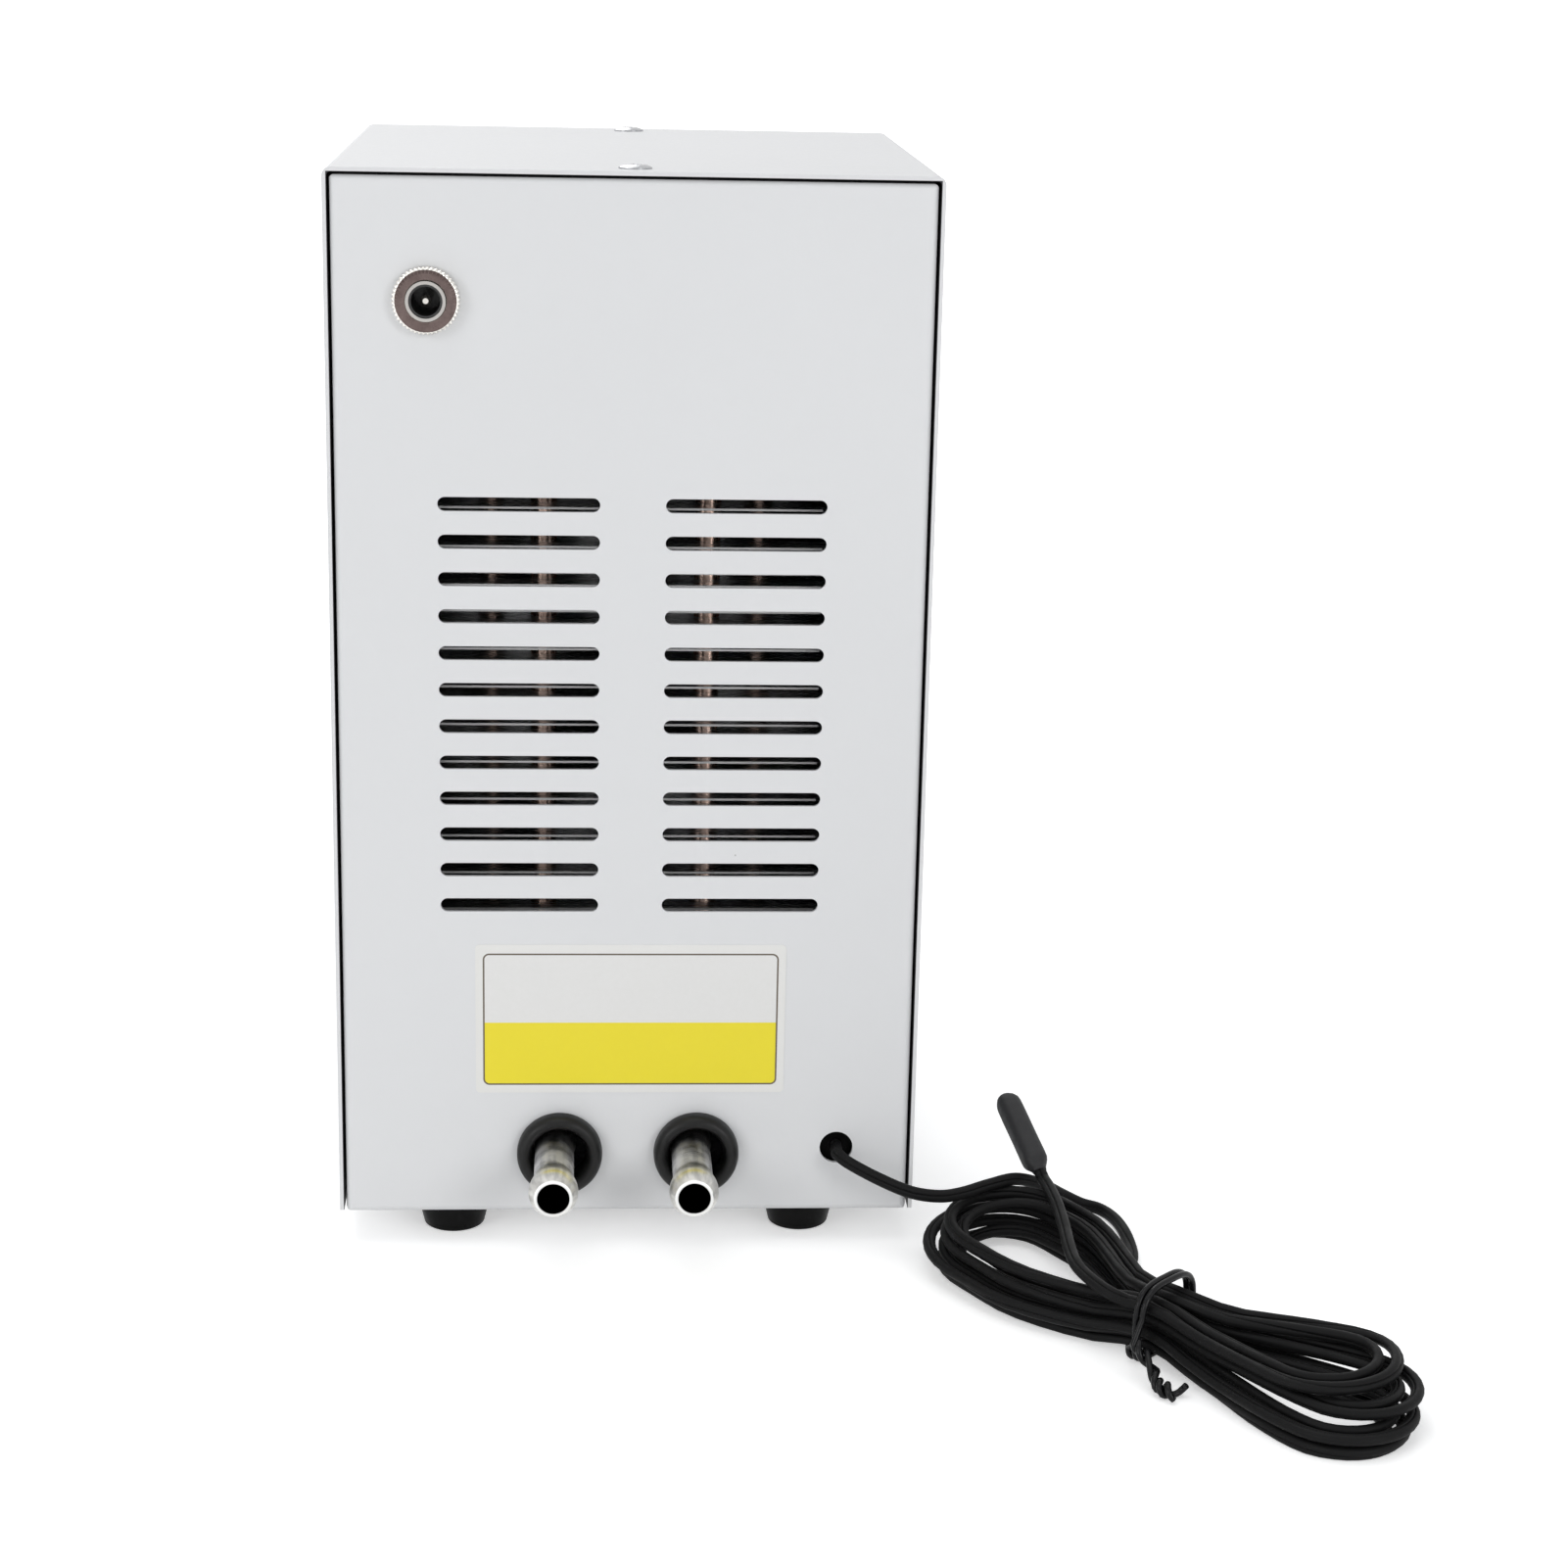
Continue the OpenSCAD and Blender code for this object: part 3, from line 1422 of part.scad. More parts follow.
// Coated wire tie: one tube that twists in from its first end, passes round the waist, and twists out
tie_clear = 0.5;
tie_twist_r = 1;
tie_twists = 3;
tie_twist_len = 22;
tie_twist_splay = 0.3;
tie_squareness_share = 0.3;
module twist_tie() {
    outermost = hank_layer_turns - 1 / 4;
    half_w = outermost * hank_waist_step + lead_d / 2 + tie_clear + tie_d / 2;
    top = hank_lift + (hank_layers - 1) * hank_layer + lead_d + tie_clear + tie_d / 2;
    mid_z = (top + tie_d / 2) / 2;
    half_h = (top - tie_d / 2) / 2;
    c = cos(hank_angle);
    s = sin(hank_angle);
    function place(a, b, z) = from_hole([hank_waist[0] - a * c - b * s, hank_waist[1] + a * s - b * c, z]);
    round_waist = [for (i = [0:36])
                       let (angle = -170 + 340 * i / 36)
                       place(tie_d * (i / 36 - 0.5) * 1.5,
                             half_w * sign_power(cos(angle), tie_squareness_share),
                             mid_z + half_h * sign_power(sin(angle), tie_squareness_share))];
    twist = [for (i = [0:20])
                 let (x = i / 20, turn = 360 * tie_twists * x, r = tie_twist_r)
                 [tie_twist_len * x + 2 * tie_d, r * cos(turn), r * sin(turn), x]];
    function twist_place(t, phase) =
        place(t[0] * 0.9, -half_w - 2.5 * tie_d - t[0] * tie_twist_splay + phase * t[1],
              tie_d / 2 + tie_twist_r + (mid_z - tie_d - tie_twist_r) * pow(1 - t[3], 2) + phase * t[2]);
    first = [for (i = [20:-1:0]) twist_place(twist[i], 1)];
    second = [for (i = [0:20]) twist_place(twist[i], -1)];
    color("black")
    tube(concat(first, round_waist, second), tie_d, 6, [0.1, 0.2, 1]);
}

chassis();
cover();
cover_screws();
rubber_feet();
foot_screws();
foot_nuts();
power_jack_shell();
power_jack_insulator();
power_jack_pin();
power_jack_nut();
grommets();
water_inlet_tube();
water_outlet_tube();
rear_label();
cold_block();
block_insulation();
thermoelectric_module();
module_gasket();
heatsink_base();
pipe_saddle();
heat_pipes();
fin_stack();
hold_down_bars();
hold_down_screws();
hold_down_posts();
fan_frame();
fan_rotor();
fan_shaft();
fan_bearing();
fan_retaining_ring();
rotor_magnet();
fan_stator();
fan_clips();
controller_case();
controller_back();
controller_clips();
display_lens();
display_module();
controller_board();
tact_switches();
terminal_block();
set_button();
up_button();
down_button();
lead_retainer();
sensor_lead_inner();
power_leads();
fan_leads();
module_leads();
sensor_lead();
sensor_lead_hank();
sensor_lead_tail();
sensor_probe();
twist_tie();
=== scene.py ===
"""Aquarium chiller. The looks of a small thermoelectric cooler, seen from behind on pale card."""
import math

import bpy
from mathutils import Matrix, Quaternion, Vector


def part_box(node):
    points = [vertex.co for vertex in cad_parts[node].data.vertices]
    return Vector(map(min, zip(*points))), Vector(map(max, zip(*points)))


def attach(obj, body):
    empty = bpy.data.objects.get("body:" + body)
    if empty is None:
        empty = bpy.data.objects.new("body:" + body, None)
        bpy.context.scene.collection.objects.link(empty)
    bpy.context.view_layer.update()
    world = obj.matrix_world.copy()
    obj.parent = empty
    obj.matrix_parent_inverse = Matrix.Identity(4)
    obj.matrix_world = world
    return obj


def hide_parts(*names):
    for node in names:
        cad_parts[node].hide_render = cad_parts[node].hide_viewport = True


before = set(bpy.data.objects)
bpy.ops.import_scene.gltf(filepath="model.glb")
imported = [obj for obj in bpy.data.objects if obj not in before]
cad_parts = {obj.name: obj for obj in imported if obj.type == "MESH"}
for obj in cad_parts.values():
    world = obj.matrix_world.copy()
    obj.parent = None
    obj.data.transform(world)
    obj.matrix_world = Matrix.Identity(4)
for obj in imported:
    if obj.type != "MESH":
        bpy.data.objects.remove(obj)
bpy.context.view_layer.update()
mm = 0.001

# Camera. A long lens stands behind the chiller and a little above it. Its place, aim and slight
# roll were fitted to the housing's corners in the photograph.
camera_place = Vector((10.2, 740.2, 303.5)) * mm
camera_aim = Vector((-34.9, 57.5, 113.0)) * mm
camera_roll = math.radians(1.26)
camera_lens, camera_sensor, camera_near = 71.44, 36, 0.01
camera = bpy.data.objects.new("camera", bpy.data.cameras.new("camera"))
camera.data.sensor_width = camera_sensor
camera.data.lens = camera_lens
camera.data.clip_start = camera_near
camera.location = camera_place
camera.rotation_mode = "QUATERNION"
looking = (camera_aim - camera_place).to_track_quat("-Z", "Y")
camera.rotation_quaternion = looking @ Quaternion((0, 0, 1), camera_roll)
bpy.context.scene.collection.objects.link(camera)
bpy.context.scene.camera = camera
bpy.context.scene.view_settings.view_transform = "Standard"


# Sensor lead. A flat twin-core lead in black vinyl, extruded in one length, which leaves its plain
# hole in the rear panel, drops to the floor and is wound into a hank. The tail crosses the hank.
class Socket:
    """A shader socket that can stand in a sum. Each operator adds its Math node."""

    def __init__(self, finish, socket):
        self.finish = finish
        self.socket = socket

    def math(self, operation, *values):
        names = ("Value", "Value_001", "Value_002")
        return self.finish.node("Math", {"operation": operation}, dict(zip(names, values)))

    def __add__(self, other):
        return self.math("ADD", self, other)

    def __sub__(self, other):
        return self.math("SUBTRACT", self, other)

    def __rsub__(self, other):
        return self.math("SUBTRACT", other, self)

    def __mul__(self, other):
        return self.math("MULTIPLY", self, other)

    def __abs__(self):
        return self.math("ABSOLUTE", self)

    def away(self, other):
        """Distance from a point, from two offsets to it."""
        return self.math("SQRT", self * self + other * other)

    def __lt__(self, other):
        return self.math("LESS_THAN", self, other)

    def __gt__(self, other):
        return self.math("GREATER_THAN", self, other)

    __radd__ = __add__
    __rmul__ = __mul__


class NodeTree:
    """The nodes of a finish or of the studio. All but the first ones come from node()."""

    def __init__(self, tree):
        self.tree = tree

    def set(self, node, sockets):
        """Gives each named socket a value or a link."""
        for name, value in sockets.items():
            matches = [s for s in node.inputs if s.identifier == name]
            matches += [s for s in node.inputs if s.name == name and s.enabled]
            if isinstance(value, Socket):
                self.tree.links.new(value.socket, matches[0])
            else:
                matches[0].default_value = value

    def node(self, kind, settings=None, sockets=None, out=0):
        node = self.tree.nodes.new("ShaderNode" + kind)
        for name, value in (settings or {}).items():
            setattr(node, name, value)
        self.set(node, sockets or {})
        return Socket(self, node.outputs[out])

    def looking(self):
        """1 for a ray that looks at a thing, straight, in a gloss or through glass, else 0."""
        direct, glossy, through = [self.node("LightPath", out=f"Is {ray} Ray")
                                   for ray in ("Camera", "Glossy", "Transmission")]
        return direct + glossy + through


class Finish(NodeTree):
    """A material built around one Principled shader. Constants sit on the shader's own sockets."""

    def __init__(self, name, color=(0.5, 0.5, 0.5), roughness=0.5, metallic=0.0, **constants):
        self.material = bpy.data.materials.new(name)
        self.material.use_nodes = True
        super().__init__(self.material.node_tree)
        self.shader = self.tree.nodes["Principled BSDF"]
        self.set(self.shader, {"Base Color": (*color, 1), "Roughness": roughness,
                               "Metallic": metallic, **constants})

    def place(self):
        return self.node("TexCoord", out="Object")

    def axes(self):
        place = self.place()
        return [self.node("SeparateXYZ", {}, {"Vector": place}, out) for out in range(3)]

    def rearward(self):
        """How squarely the surface faces the rear, up to 1."""
        normal = self.node("NewGeometry", out="Normal")
        return self.node("SeparateXYZ", {}, {"Vector": normal}, 1)

    def stretched(self, factors):
        return self.node("VectorMath", {"operation": "MULTIPLY"},
                         {"Vector": self.place(), "Vector_001": factors})

    def noise(self, scale, detail=2.0, vector=None):
        return self.node("TexNoise", {}, {"Vector": vector or self.place(), "Scale": scale,
                                          "Detail": detail})

    def cells(self, scale):
        return self.node("TexVoronoi", {"feature": "F1"}, {"Vector": self.place(), "Scale": scale},
                         "Distance")

    def spread(self, value, low, high, to_low, to_high):
        return self.node("MapRange", {"interpolation_type": "SMOOTHSTEP"},
                         {"Value": value, "From Min": low, "From Max": high,
                          "To Min": to_low, "To Max": to_high})

    def between(self, factor, color_a, color_b):
        sides = [c if isinstance(c, Socket) else (*c, 1) for c in (color_a, color_b)]
        return self.node("Mix", {"data_type": "RGBA"},
                         {"Factor_Float": factor, "A_Color": sides[0], "B_Color": sides[1]},
                         "Result")

    def wear(self, **sockets):
        names = {"color": "Base Color", "roughness": "Roughness", "metallic": "Metallic"}
        self.set(self.shader, {names[name]: value for name, value in sockets.items()})

    def bump(self, height, distance, strength=1.0):
        bump = self.node("Bump", {}, {"Height": height, "Distance": distance, "Strength": strength})
        self.set(self.shader, {"Normal": bump})


def curve_through(points, steps):
    """Smooth line through every point, as the lead's solid follows it."""
    ends = [points[0] * 2 - points[1]] + points + [points[-1] * 2 - points[-2]]
    line = []
    for a, b, c, d in zip(ends, ends[1:], ends[2:], ends[3:]):
        for k in range(steps):
            x = k / steps
            line.append((2 * b + (c - a) * x + (2 * a - 5 * b + 4 * c - d) * x ** 2
                         + (3 * b - a - 3 * c + d) * x ** 3) / 2)
    return line + [points[-1].copy()]


def carried_frames(line, up):
    """A direction, a side and an up vector at each point, carried along without twist."""
    frames = []
    for i, point in enumerate(line):
        ahead = (line[min(i + 1, len(line) - 1)] - line[max(i - 1, 0)]).normalized()
        up = (up - ahead * up.dot(ahead)).normalized()
        frames.append((ahead, ahead.cross(up), up))
    return frames


def new_piece(name, points, faces, sharp_angle=180):
    mesh = bpy.data.meshes.new(name)
    mesh.from_pydata([tuple(p) for p in points], [], faces)
    mesh.shade_smooth()
    if sharp_angle < 180:
        mesh.set_sharp_from_angle(angle=math.radians(sharp_angle))
    piece = bpy.data.objects.new(name, mesh)
    bpy.context.scene.collection.objects.link(piece)
    return piece


def skinned(rings, closed_ends=True):
    """Points and faces of a skin over rings that hold the same number of points."""
    n = len(rings[0])
    points = [p for ring in rings for p in ring]
    faces = [(i * n + k, i * n + (k + 1) % n, (i + 1) * n + (k + 1) % n, (i + 1) * n + k)
             for i in range(len(rings) - 1) for k in range(n)]
    if closed_ends:
        last = (len(rings) - 1) * n
        faces += [tuple(range(n))[::-1], tuple(last + k for k in range(n))]
    return points, faces


def tube_along(line, section, up, roll=lambda s: 0):
    """Rings of a section that lies in (side, up) at each point of a line."""
    rings = []
    run = 0
    for i, (point, (ahead, side, over)) in enumerate(zip(line, carried_frames(line, up))):
        run += (point - line[i - 1]).length if i else 0
        turn = Quaternion(ahead, roll(run))
        rings.append([point + turn @ (side * x + over * y) for x, y in section])
    return rings


def smooth_step(x):
    x = min(max(x, 0), 1)
    return x * x * (3 - 2 * x)


# The route's points are the solid lead's own, in millimetres from the foot of its hole
lead_hole = Vector((-49.1, 57.5, 0))
lead_d = 2.6
lead_route = [(0, -1, 24), (0, 1.5, 24), (0, 4, 24), (-2.5, 7.6, 23.1), (-9.5, 10, 20),
              (-17, 10.2, 16.8), (-24, 8.2, 14.9), (-30, 4, 13.9), (-37, -1.5, 13.6),
              (-44, -6.5, 13), (-51, -11.5, 9.5), (-57, -15.5, 5), (-62, -17, 2),
              (-66.5, -15, 1.3), (-69.3, -8, 1.3), (-70.2, 3, 1.3), (-69, 15, 1.3)]
tail_route = [(-55.8, 59.3, 13.9), (-52.6, 54.1, 14.6), (-50.7, 46.1, 14.5), (-50.6, 36, 14.2),
              (-51.2, 24, 14), (-51.4, 12, 14), (-50.9, 3, 14.3)]
probe_foot = lead_hole + Vector((-49.8, -6, 15))
probe_nose = lead_hole + Vector((-44.1, -30.4, 24.8))

# The hank's winding, in millimetres, measured from its waist: four layers of two loops, each layer
# wound inwards or outwards over the last. A list has one value for each layer, and hank_even is the
# angle in degrees by which the turns give way to the lobes.
hank_layers, hank_layer_turns, hank_layer = 4, 2, 3.15
hank_waist = lead_hole + Vector((-68, 60, 0))
hank_angle = math.radians(46)
hank_reaches = {"left": [64, 64, 64, 64], "right": [56, 57, 55, 48]}
hank_lobes = {"left": [11.5, 12, 12, 13], "right": [8, 9, 8, 11]}
hank_shifts = {"left": [0, 0, 1, 2], "right": [-4, -2, 2, 5]}
hank_tapers = {"left": 42, "right": 50}
hank_waist_step, hank_lobe_step = 3.5, 4.0
hank_bow, hank_bow_len, hank_lift, hank_lift_len, hank_climb = 13, 74, 2.1, 16, 0.4
hank_even, hank_squeeze, hank_points_per_turn = 4, 2.5, 72


def in_hank(a, b, z):
    """Place from a run along the hank, a step towards its far side and a height."""
    c, s = math.cos(hank_angle), math.sin(hank_angle)
    return hank_waist + Vector((-a * c - b * s, a * s - b * c, z))


def hank_place(turns):
    """Place on the lead's middle line after so many turns of the hank."""
    layer = sum(smooth_step((turns - k * hank_layer_turns) / hank_climb + 0.5)
                for k in range(1, hank_layers))
    below = min(int(layer), hank_layers - 1)
    above = min(below + 1, hank_layers - 1)

    def at_layer(values):
        return values[below] + (values[above] - values[below]) * smooth_step(layer - below)

    out = hank_layer_turns * abs(1 - turns / hank_layer_turns % 2)
    angle = math.radians(360 * turns - hank_even * math.sin(4 * math.pi * turns))
    end = "left" if math.cos(angle) > 0 else "right"
    reach = at_layer(hank_reaches[end]) + out * hank_lobe_step
    a = -math.cos(angle) * reach
    taper = smooth_step(abs(a) / hank_tapers[end])
    lobe = at_layer(hank_lobes[end])
    step = hank_waist_step + (hank_lobe_step - hank_waist_step) * min(1, hank_squeeze * taper)
    fold_r = lobe + out * hank_lobe_step
    fold = math.sqrt(1 - min(max(abs(a) - reach + fold_r, 0) / fold_r, 1) ** 2)
    b = math.copysign(fold * (lobe * taper + out * step), math.sin(angle))
    b += at_layer(hank_shifts[end]) * taper
    if end == "left":
        b += hank_bow * smooth_step(abs(a) / hank_bow_len)
    lift = hank_lift * (1 - smooth_step(abs(a) / hank_lift_len))
    return in_hank(a, b, lead_d / 2 + lift + hank_layer * layer)


hank_first, hank_last, hank_step_in, hank_step_out = 5 / 24, 8 - 6 / 24, 0.002, 1 / 24
hank_core = [hank_place(hank_first + i / hank_points_per_turn)
             for i in range(round((hank_last - hank_first) * hank_points_per_turn) + 1)]
level = Vector((1, 1, 0))
hank_in = ((hank_place(hank_first + hank_step_in) - hank_core[0]) * level).normalized()
hank_out = ((hank_place(hank_last + hank_step_out) - hank_core[-1]) * level).normalized()
hank_start = hank_core[0] - lead_d * hank_in
hank_end = hank_core[-1] + lead_d * hank_out
probe_lean = (probe_nose - probe_foot).normalized()
into_hank = [hank_start - k * lead_d * hank_in for k in (3, 1.5, 0)]
out_of_hank = [hank_end + k * lead_d * hank_out for k in (0, 0.5, 1)]
into_probe = [probe_foot - k * lead_d * probe_lean for k in (1, 0.5, 0)]
route_steps = 6
free_run = curve_through([lead_hole + Vector(p) for p in lead_route] + into_hank, route_steps)
tail_run = curve_through(out_of_hank + [lead_hole + Vector(p) for p in tail_route] + into_probe,
                         route_steps)
lead_line = [p * mm for p in free_run + hank_core + tail_run]

# Two round cores side by side under one skin, with a groove between them on both faces
core_r, core_offset, core_wrap, core_sides = 1.12 * mm, 0.40 * mm, 240, 8
lead_section = []
for core_side in (1, -1):
    for k in range(core_sides + 1):
        bend = math.radians(core_wrap * k / core_sides - core_wrap / 2)
        x = core_side * (core_offset + core_r * math.cos(bend))
        lead_section.append((x, core_side * core_r * math.sin(bend)))

# The lead leans, and turns to and fro in two waves of a swing in degrees, a length and a start
lead_lean, lead_waves = 20, ((46, 31 * mm, 0), (34, 13.7 * mm, 1.3))
tail_start, tail_blend, tail_lean = 2330 * mm, 30 * mm, -35


def lead_roll(run):
    """The flat lead turns on its side and back as it was bundled, and its tail lies still."""
    tail = smooth_step((run - tail_start) / tail_blend)
    loose = lead_lean
    for swing, wave, start in lead_waves:
        loose += swing * math.sin(run / wave + start)
    return math.radians(loose * (1 - tail) + tail_lean * tail)


# Where the lead lies on the floor, its soft skin is pressed flat
lead_rings = tube_along(lead_line, lead_section, Vector((0, 0, 1)), lead_roll)
lead_rings = [[Vector((p.x, p.y, max(p.z, 0))) for p in ring] for ring in lead_rings]
sensor_lead = new_piece("sensor_lead_skin", *skinned(lead_rings))
vinyl = Finish("lead_vinyl", roughness=0.55, **{"Specular IOR Level": 0.12})
rubbed = vinyl.noise(160, 3)
fine_grain = vinyl.noise(5200, 2)
vinyl.wear(color=vinyl.between(rubbed, (0.0035, 0.0035, 0.0037), (0.0085, 0.0085, 0.0088)),
           roughness=vinyl.spread(rubbed, 0.3, 0.7, 0.48, 0.62) + fine_grain * 0.05)
vinyl.bump(fine_grain + rubbed * 0.6, 0.00003, 0.5)
sensor_lead.data.materials.append(vinyl.material)
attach(sensor_lead, "housing")
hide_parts("sensor_lead", "sensor_lead_hank", "sensor_lead_tail")

# Sensor head. A thermistor moulded into a stubby vinyl body, slightly squared, with a round nose
# and a stepped collar where the lead enters. It is bonded to the lead's end.
head_half_w, head_half_t = 3.0 * mm, 2.65 * mm
# Runs in millimetres from the collar, with the share of the full width at each
head_stations = [(0.0, 0.50), (0.15, 0.56), (0.9, 0.62), (1.3, 0.66), (2.2, 0.80), (3.0, 0.93),
                 (3.7, 0.985), (5.0, 1.0), (12, 0.99), (20, 1.0), (23.5, 0.985), (24.8, 0.93),
                 (25.8, 0.82), (26.5, 0.62), (26.85, 0.40), (26.97, 0.18)]
head_sides, head_square, square_from, square_to = 32, 1.1, 1, 26.5


def squared(wave, flatness):
    """A sine or cosine drawn towards its peaks, which turns a circle into a rounded square."""
    return math.copysign(abs(wave) ** flatness, wave)


ahead, aside, above = carried_frames([probe_foot * mm, probe_nose * mm], Vector((0, 0, 1)))[0]
head_rings = []
for along, share in head_stations:
    body = smooth_step((along - square_from) / 3) * smooth_step((square_to - along) / 2)
    flatness = 2 / (2 + head_square * body)
    ring = []
    for k in range(head_sides):
        angle = math.tau * k / head_sides
        x = squared(math.cos(angle), flatness) * head_half_w * share
        y = squared(math.sin(angle), flatness) * head_half_t * share
        ring.append(probe_foot * mm + ahead * along * mm + aside * x + above * y)
    head_rings.append(ring)
sensor_head = new_piece("sensor_head_moulding", *skinned(head_rings))
moulding = Finish("head_vinyl", roughness=0.5, **{"Specular IOR Level": 0.28})
cast = moulding.noise(420, 4)
moulding.wear(color=moulding.between(cast, (0.012, 0.012, 0.013), (0.024, 0.024, 0.026)),
              roughness=moulding.spread(cast, 0.3, 0.7, 0.44, 0.6))
moulding.bump(cast + moulding.noise(3600) * 0.4, 0.00008, 0.6)
sensor_head.data.materials.append(moulding.material)
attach(sensor_head, "housing")
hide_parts("sensor_probe")

# Tie. A soft iron wire in glossy black vinyl, passed round the hank's waist and twisted together
# by hand. Its two ends stick out in a short tangle on the near side.
tie_d, tie_clear = 1.5, 0.5
tie_r = tie_d / 2 * mm
tie_half_w = (hank_layer_turns - 1 / 4) * hank_waist_step + lead_d / 2 + tie_clear + tie_d / 2
tie_top = hank_lift + (hank_layers - 1) * hank_layer + lead_d + tie_clear + tie_d / 2
tie_mid_z, tie_half_h = (tie_top + tie_d / 2) / 2, (tie_top - tie_d / 2) / 2
tie_slack, tie_arch, tie_arch_flatness, tie_base_flatness = 1.3, 1.95, 0.6, 0.3
tie_spread, tie_steps = 2.2 * tie_d, 144
tie_from_degrees, tie_swing_degrees = -170, 700
twist_r, twist_turns, twist_len, twist_splay, twist_wander = 1.05, 2.5, 16, 0.3, 2.2
twist_in, twist_out, twist_slant, twist_steps = 2 * tie_d, 2.5 * tie_d, 0.9, 40


def tie_twist(x, phase):
    """One of the two twisted ends. They wander a little and part at their tips."""
    run = twist_len * x + twist_in
    turn = math.tau * twist_turns * (x + 0.06 * math.sin(9 * x))
    apart = phase * twist_r * (1 + 1.3 * smooth_step(4 * x - 3))
    wander = twist_wander * math.sin(7 * x) * x
    drop = (tie_mid_z - tie_d - twist_r) * (1 - x) ** 2
    return in_hank(run * twist_slant,
                   -tie_half_w - twist_out - run * twist_splay + wander + apart * math.cos(turn),
                   tie_d / 2 + twist_r + drop + max(apart * math.sin(turn), -twist_r))


def tie_round(angle, share):
    """The wire lies flat under the bundle and stands off in a round arch over it."""
    over = math.sin(angle) > 0
    flatness, half_h = tie_base_flatness, tie_half_h
    if over:
        flatness, half_h = tie_arch_flatness, tie_half_h + tie_arch
    return in_hank(tie_spread * (share - 0.5),
                   (tie_half_w + tie_slack) * squared(math.cos(angle), flatness),
                   tie_mid_z + half_h * squared(math.sin(angle), flatness))


tie_line = [tie_twist(i / twist_steps, 1) for i in range(twist_steps, -1, -1)]
tie_line += [tie_round(math.radians(tie_from_degrees + tie_swing_degrees * i / tie_steps),
                       i / tie_steps) for i in range(tie_steps + 1)]
tie_line += [tie_twist(i / twist_steps, -1) for i in range(twist_steps + 1)]
tie_line = [p * mm for p in tie_line]
tie_section = [(tie_r * math.cos(math.tau * k / 10), tie_r * math.sin(math.tau * k / 10))
               for k in range(10)]
tie_rings = tube_along(tie_line, tie_section, Vector((0.1, 0.2, 1)))
lead_tie = new_piece("lead_tie_wire", *skinned(tie_rings))
glossy_vinyl = Finish("tie_vinyl", roughness=0.24, **{"Specular IOR Level": 0.18})
kinks = glossy_vinyl.noise(700, 3)
glossy_vinyl.wear(color=glossy_vinyl.between(kinks, (0.004, 0.004, 0.0045), (0.009, 0.009, 0.010)),
                  roughness=glossy_vinyl.spread(kinks, 0.35, 0.7, 0.18, 0.34))
glossy_vinyl.bump(kinks, 0.00006, 0.5)
lead_tie.data.materials.append(glossy_vinyl.material)
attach(lead_tie, "housing")
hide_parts("twist_tie")
lead_length = sum((b - a).length for a, b in zip(lead_line, lead_line[1:]))

# Floor and light. A pale sweep of matt card under large soft lamps, as for a catalogue picture.
# The card keeps the shadows near the chiller, and rays that look past the object see it as white.
floor_half, glow_from, glow_to, glow_near = 30, 0.25, 0.7, 0.42
floor_corners = [(-floor_half, -floor_half, 0), (floor_half, -floor_half, 0),
                 (floor_half, floor_half, 0), (-floor_half, floor_half, 0)]
floor = new_piece("floor", floor_corners, [(0, 1, 2, 3)])
card = Finish("pale_card", roughness=0.9, **{"Emission Strength": 1.0})
card.wear(color=card.between(card.noise(40, 3), (0.90, 0.90, 0.90), (0.93, 0.93, 0.93)))
card_x, card_y, _ = card.axes()
glow = card.spread(card_x.away(card_y), glow_from, glow_to, glow_near, 1.0)
card.set(card.shader, {"Emission Color": card.between(card.looking() * glow, (0, 0, 0), (1, 1, 1))})
floor.data.materials.append(card.material)

world = bpy.data.worlds.new("studio")
world.use_nodes = True
bpy.context.scene.world = world
studio = NodeTree(world.node_tree)
room_light = world.node_tree.nodes["Background"]
studio.set(room_light, {"Color": (0.97, 0.985, 1.0, 1), "Strength": 0.50})
backdrop = studio.node("Background", {}, {"Color": (1, 1, 1, 1), "Strength": 1.0})
room = studio.node("MixShader", {}, {"Fac": studio.looking(), "Shader_001": backdrop,
                                     "Shader": Socket(studio, room_light.outputs[0])})
studio.set(world.node_tree.nodes["World Output"], {"Surface": room})


def soft_lamp(name, place, aim, size, power):
    data = bpy.data.lights.new(name, "AREA")
    data.shape = "DISK"
    data.size = size
    data.energy = power
    lamp = bpy.data.objects.new(name, data)
    lamp.location = place
    lamp.rotation_euler = (Vector(aim) - Vector(place)).to_track_quat("-Z", "Y").to_euler()
    bpy.context.scene.collection.objects.link(lamp)


soft_lamp("lamp_above", (0.2, 0.1, 1.7), (0, 0, 0.12), 1.3, 5)
soft_lamp("lamp_rear_left", (1.5, 1.6, 0.9), (0, 0.05, 0.12), 1.2, 11.5)
soft_lamp("lamp_rear_right", (-1.3, 1.9, 0.8), (0, 0.05, 0.12), 1.0, 11)
soft_lamp("lamp_front", (0.5, -1.6, 1.5), (0, 0, 0.12), 1.2, 12)


# Housing. The front, base and rear are bent from one sheet of 1 mm steel and the cover from
# another, punched before bending and powder coated in a fine white. Their inner faces are painted
# dark, a painted shade.
cover_low, cover_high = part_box("cover")
shell_front, shell_rear = cover_low.y, cover_high.y
shell_base, sheet_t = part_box("chassis")[0].z, 1.0 * mm
inner_face = 0.9 * sheet_t


def dress(node, finish):
    """Gives a solid of the frame its finish."""
    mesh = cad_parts[node].data
    mesh.materials.clear()
    mesh.materials.append(finish.material)


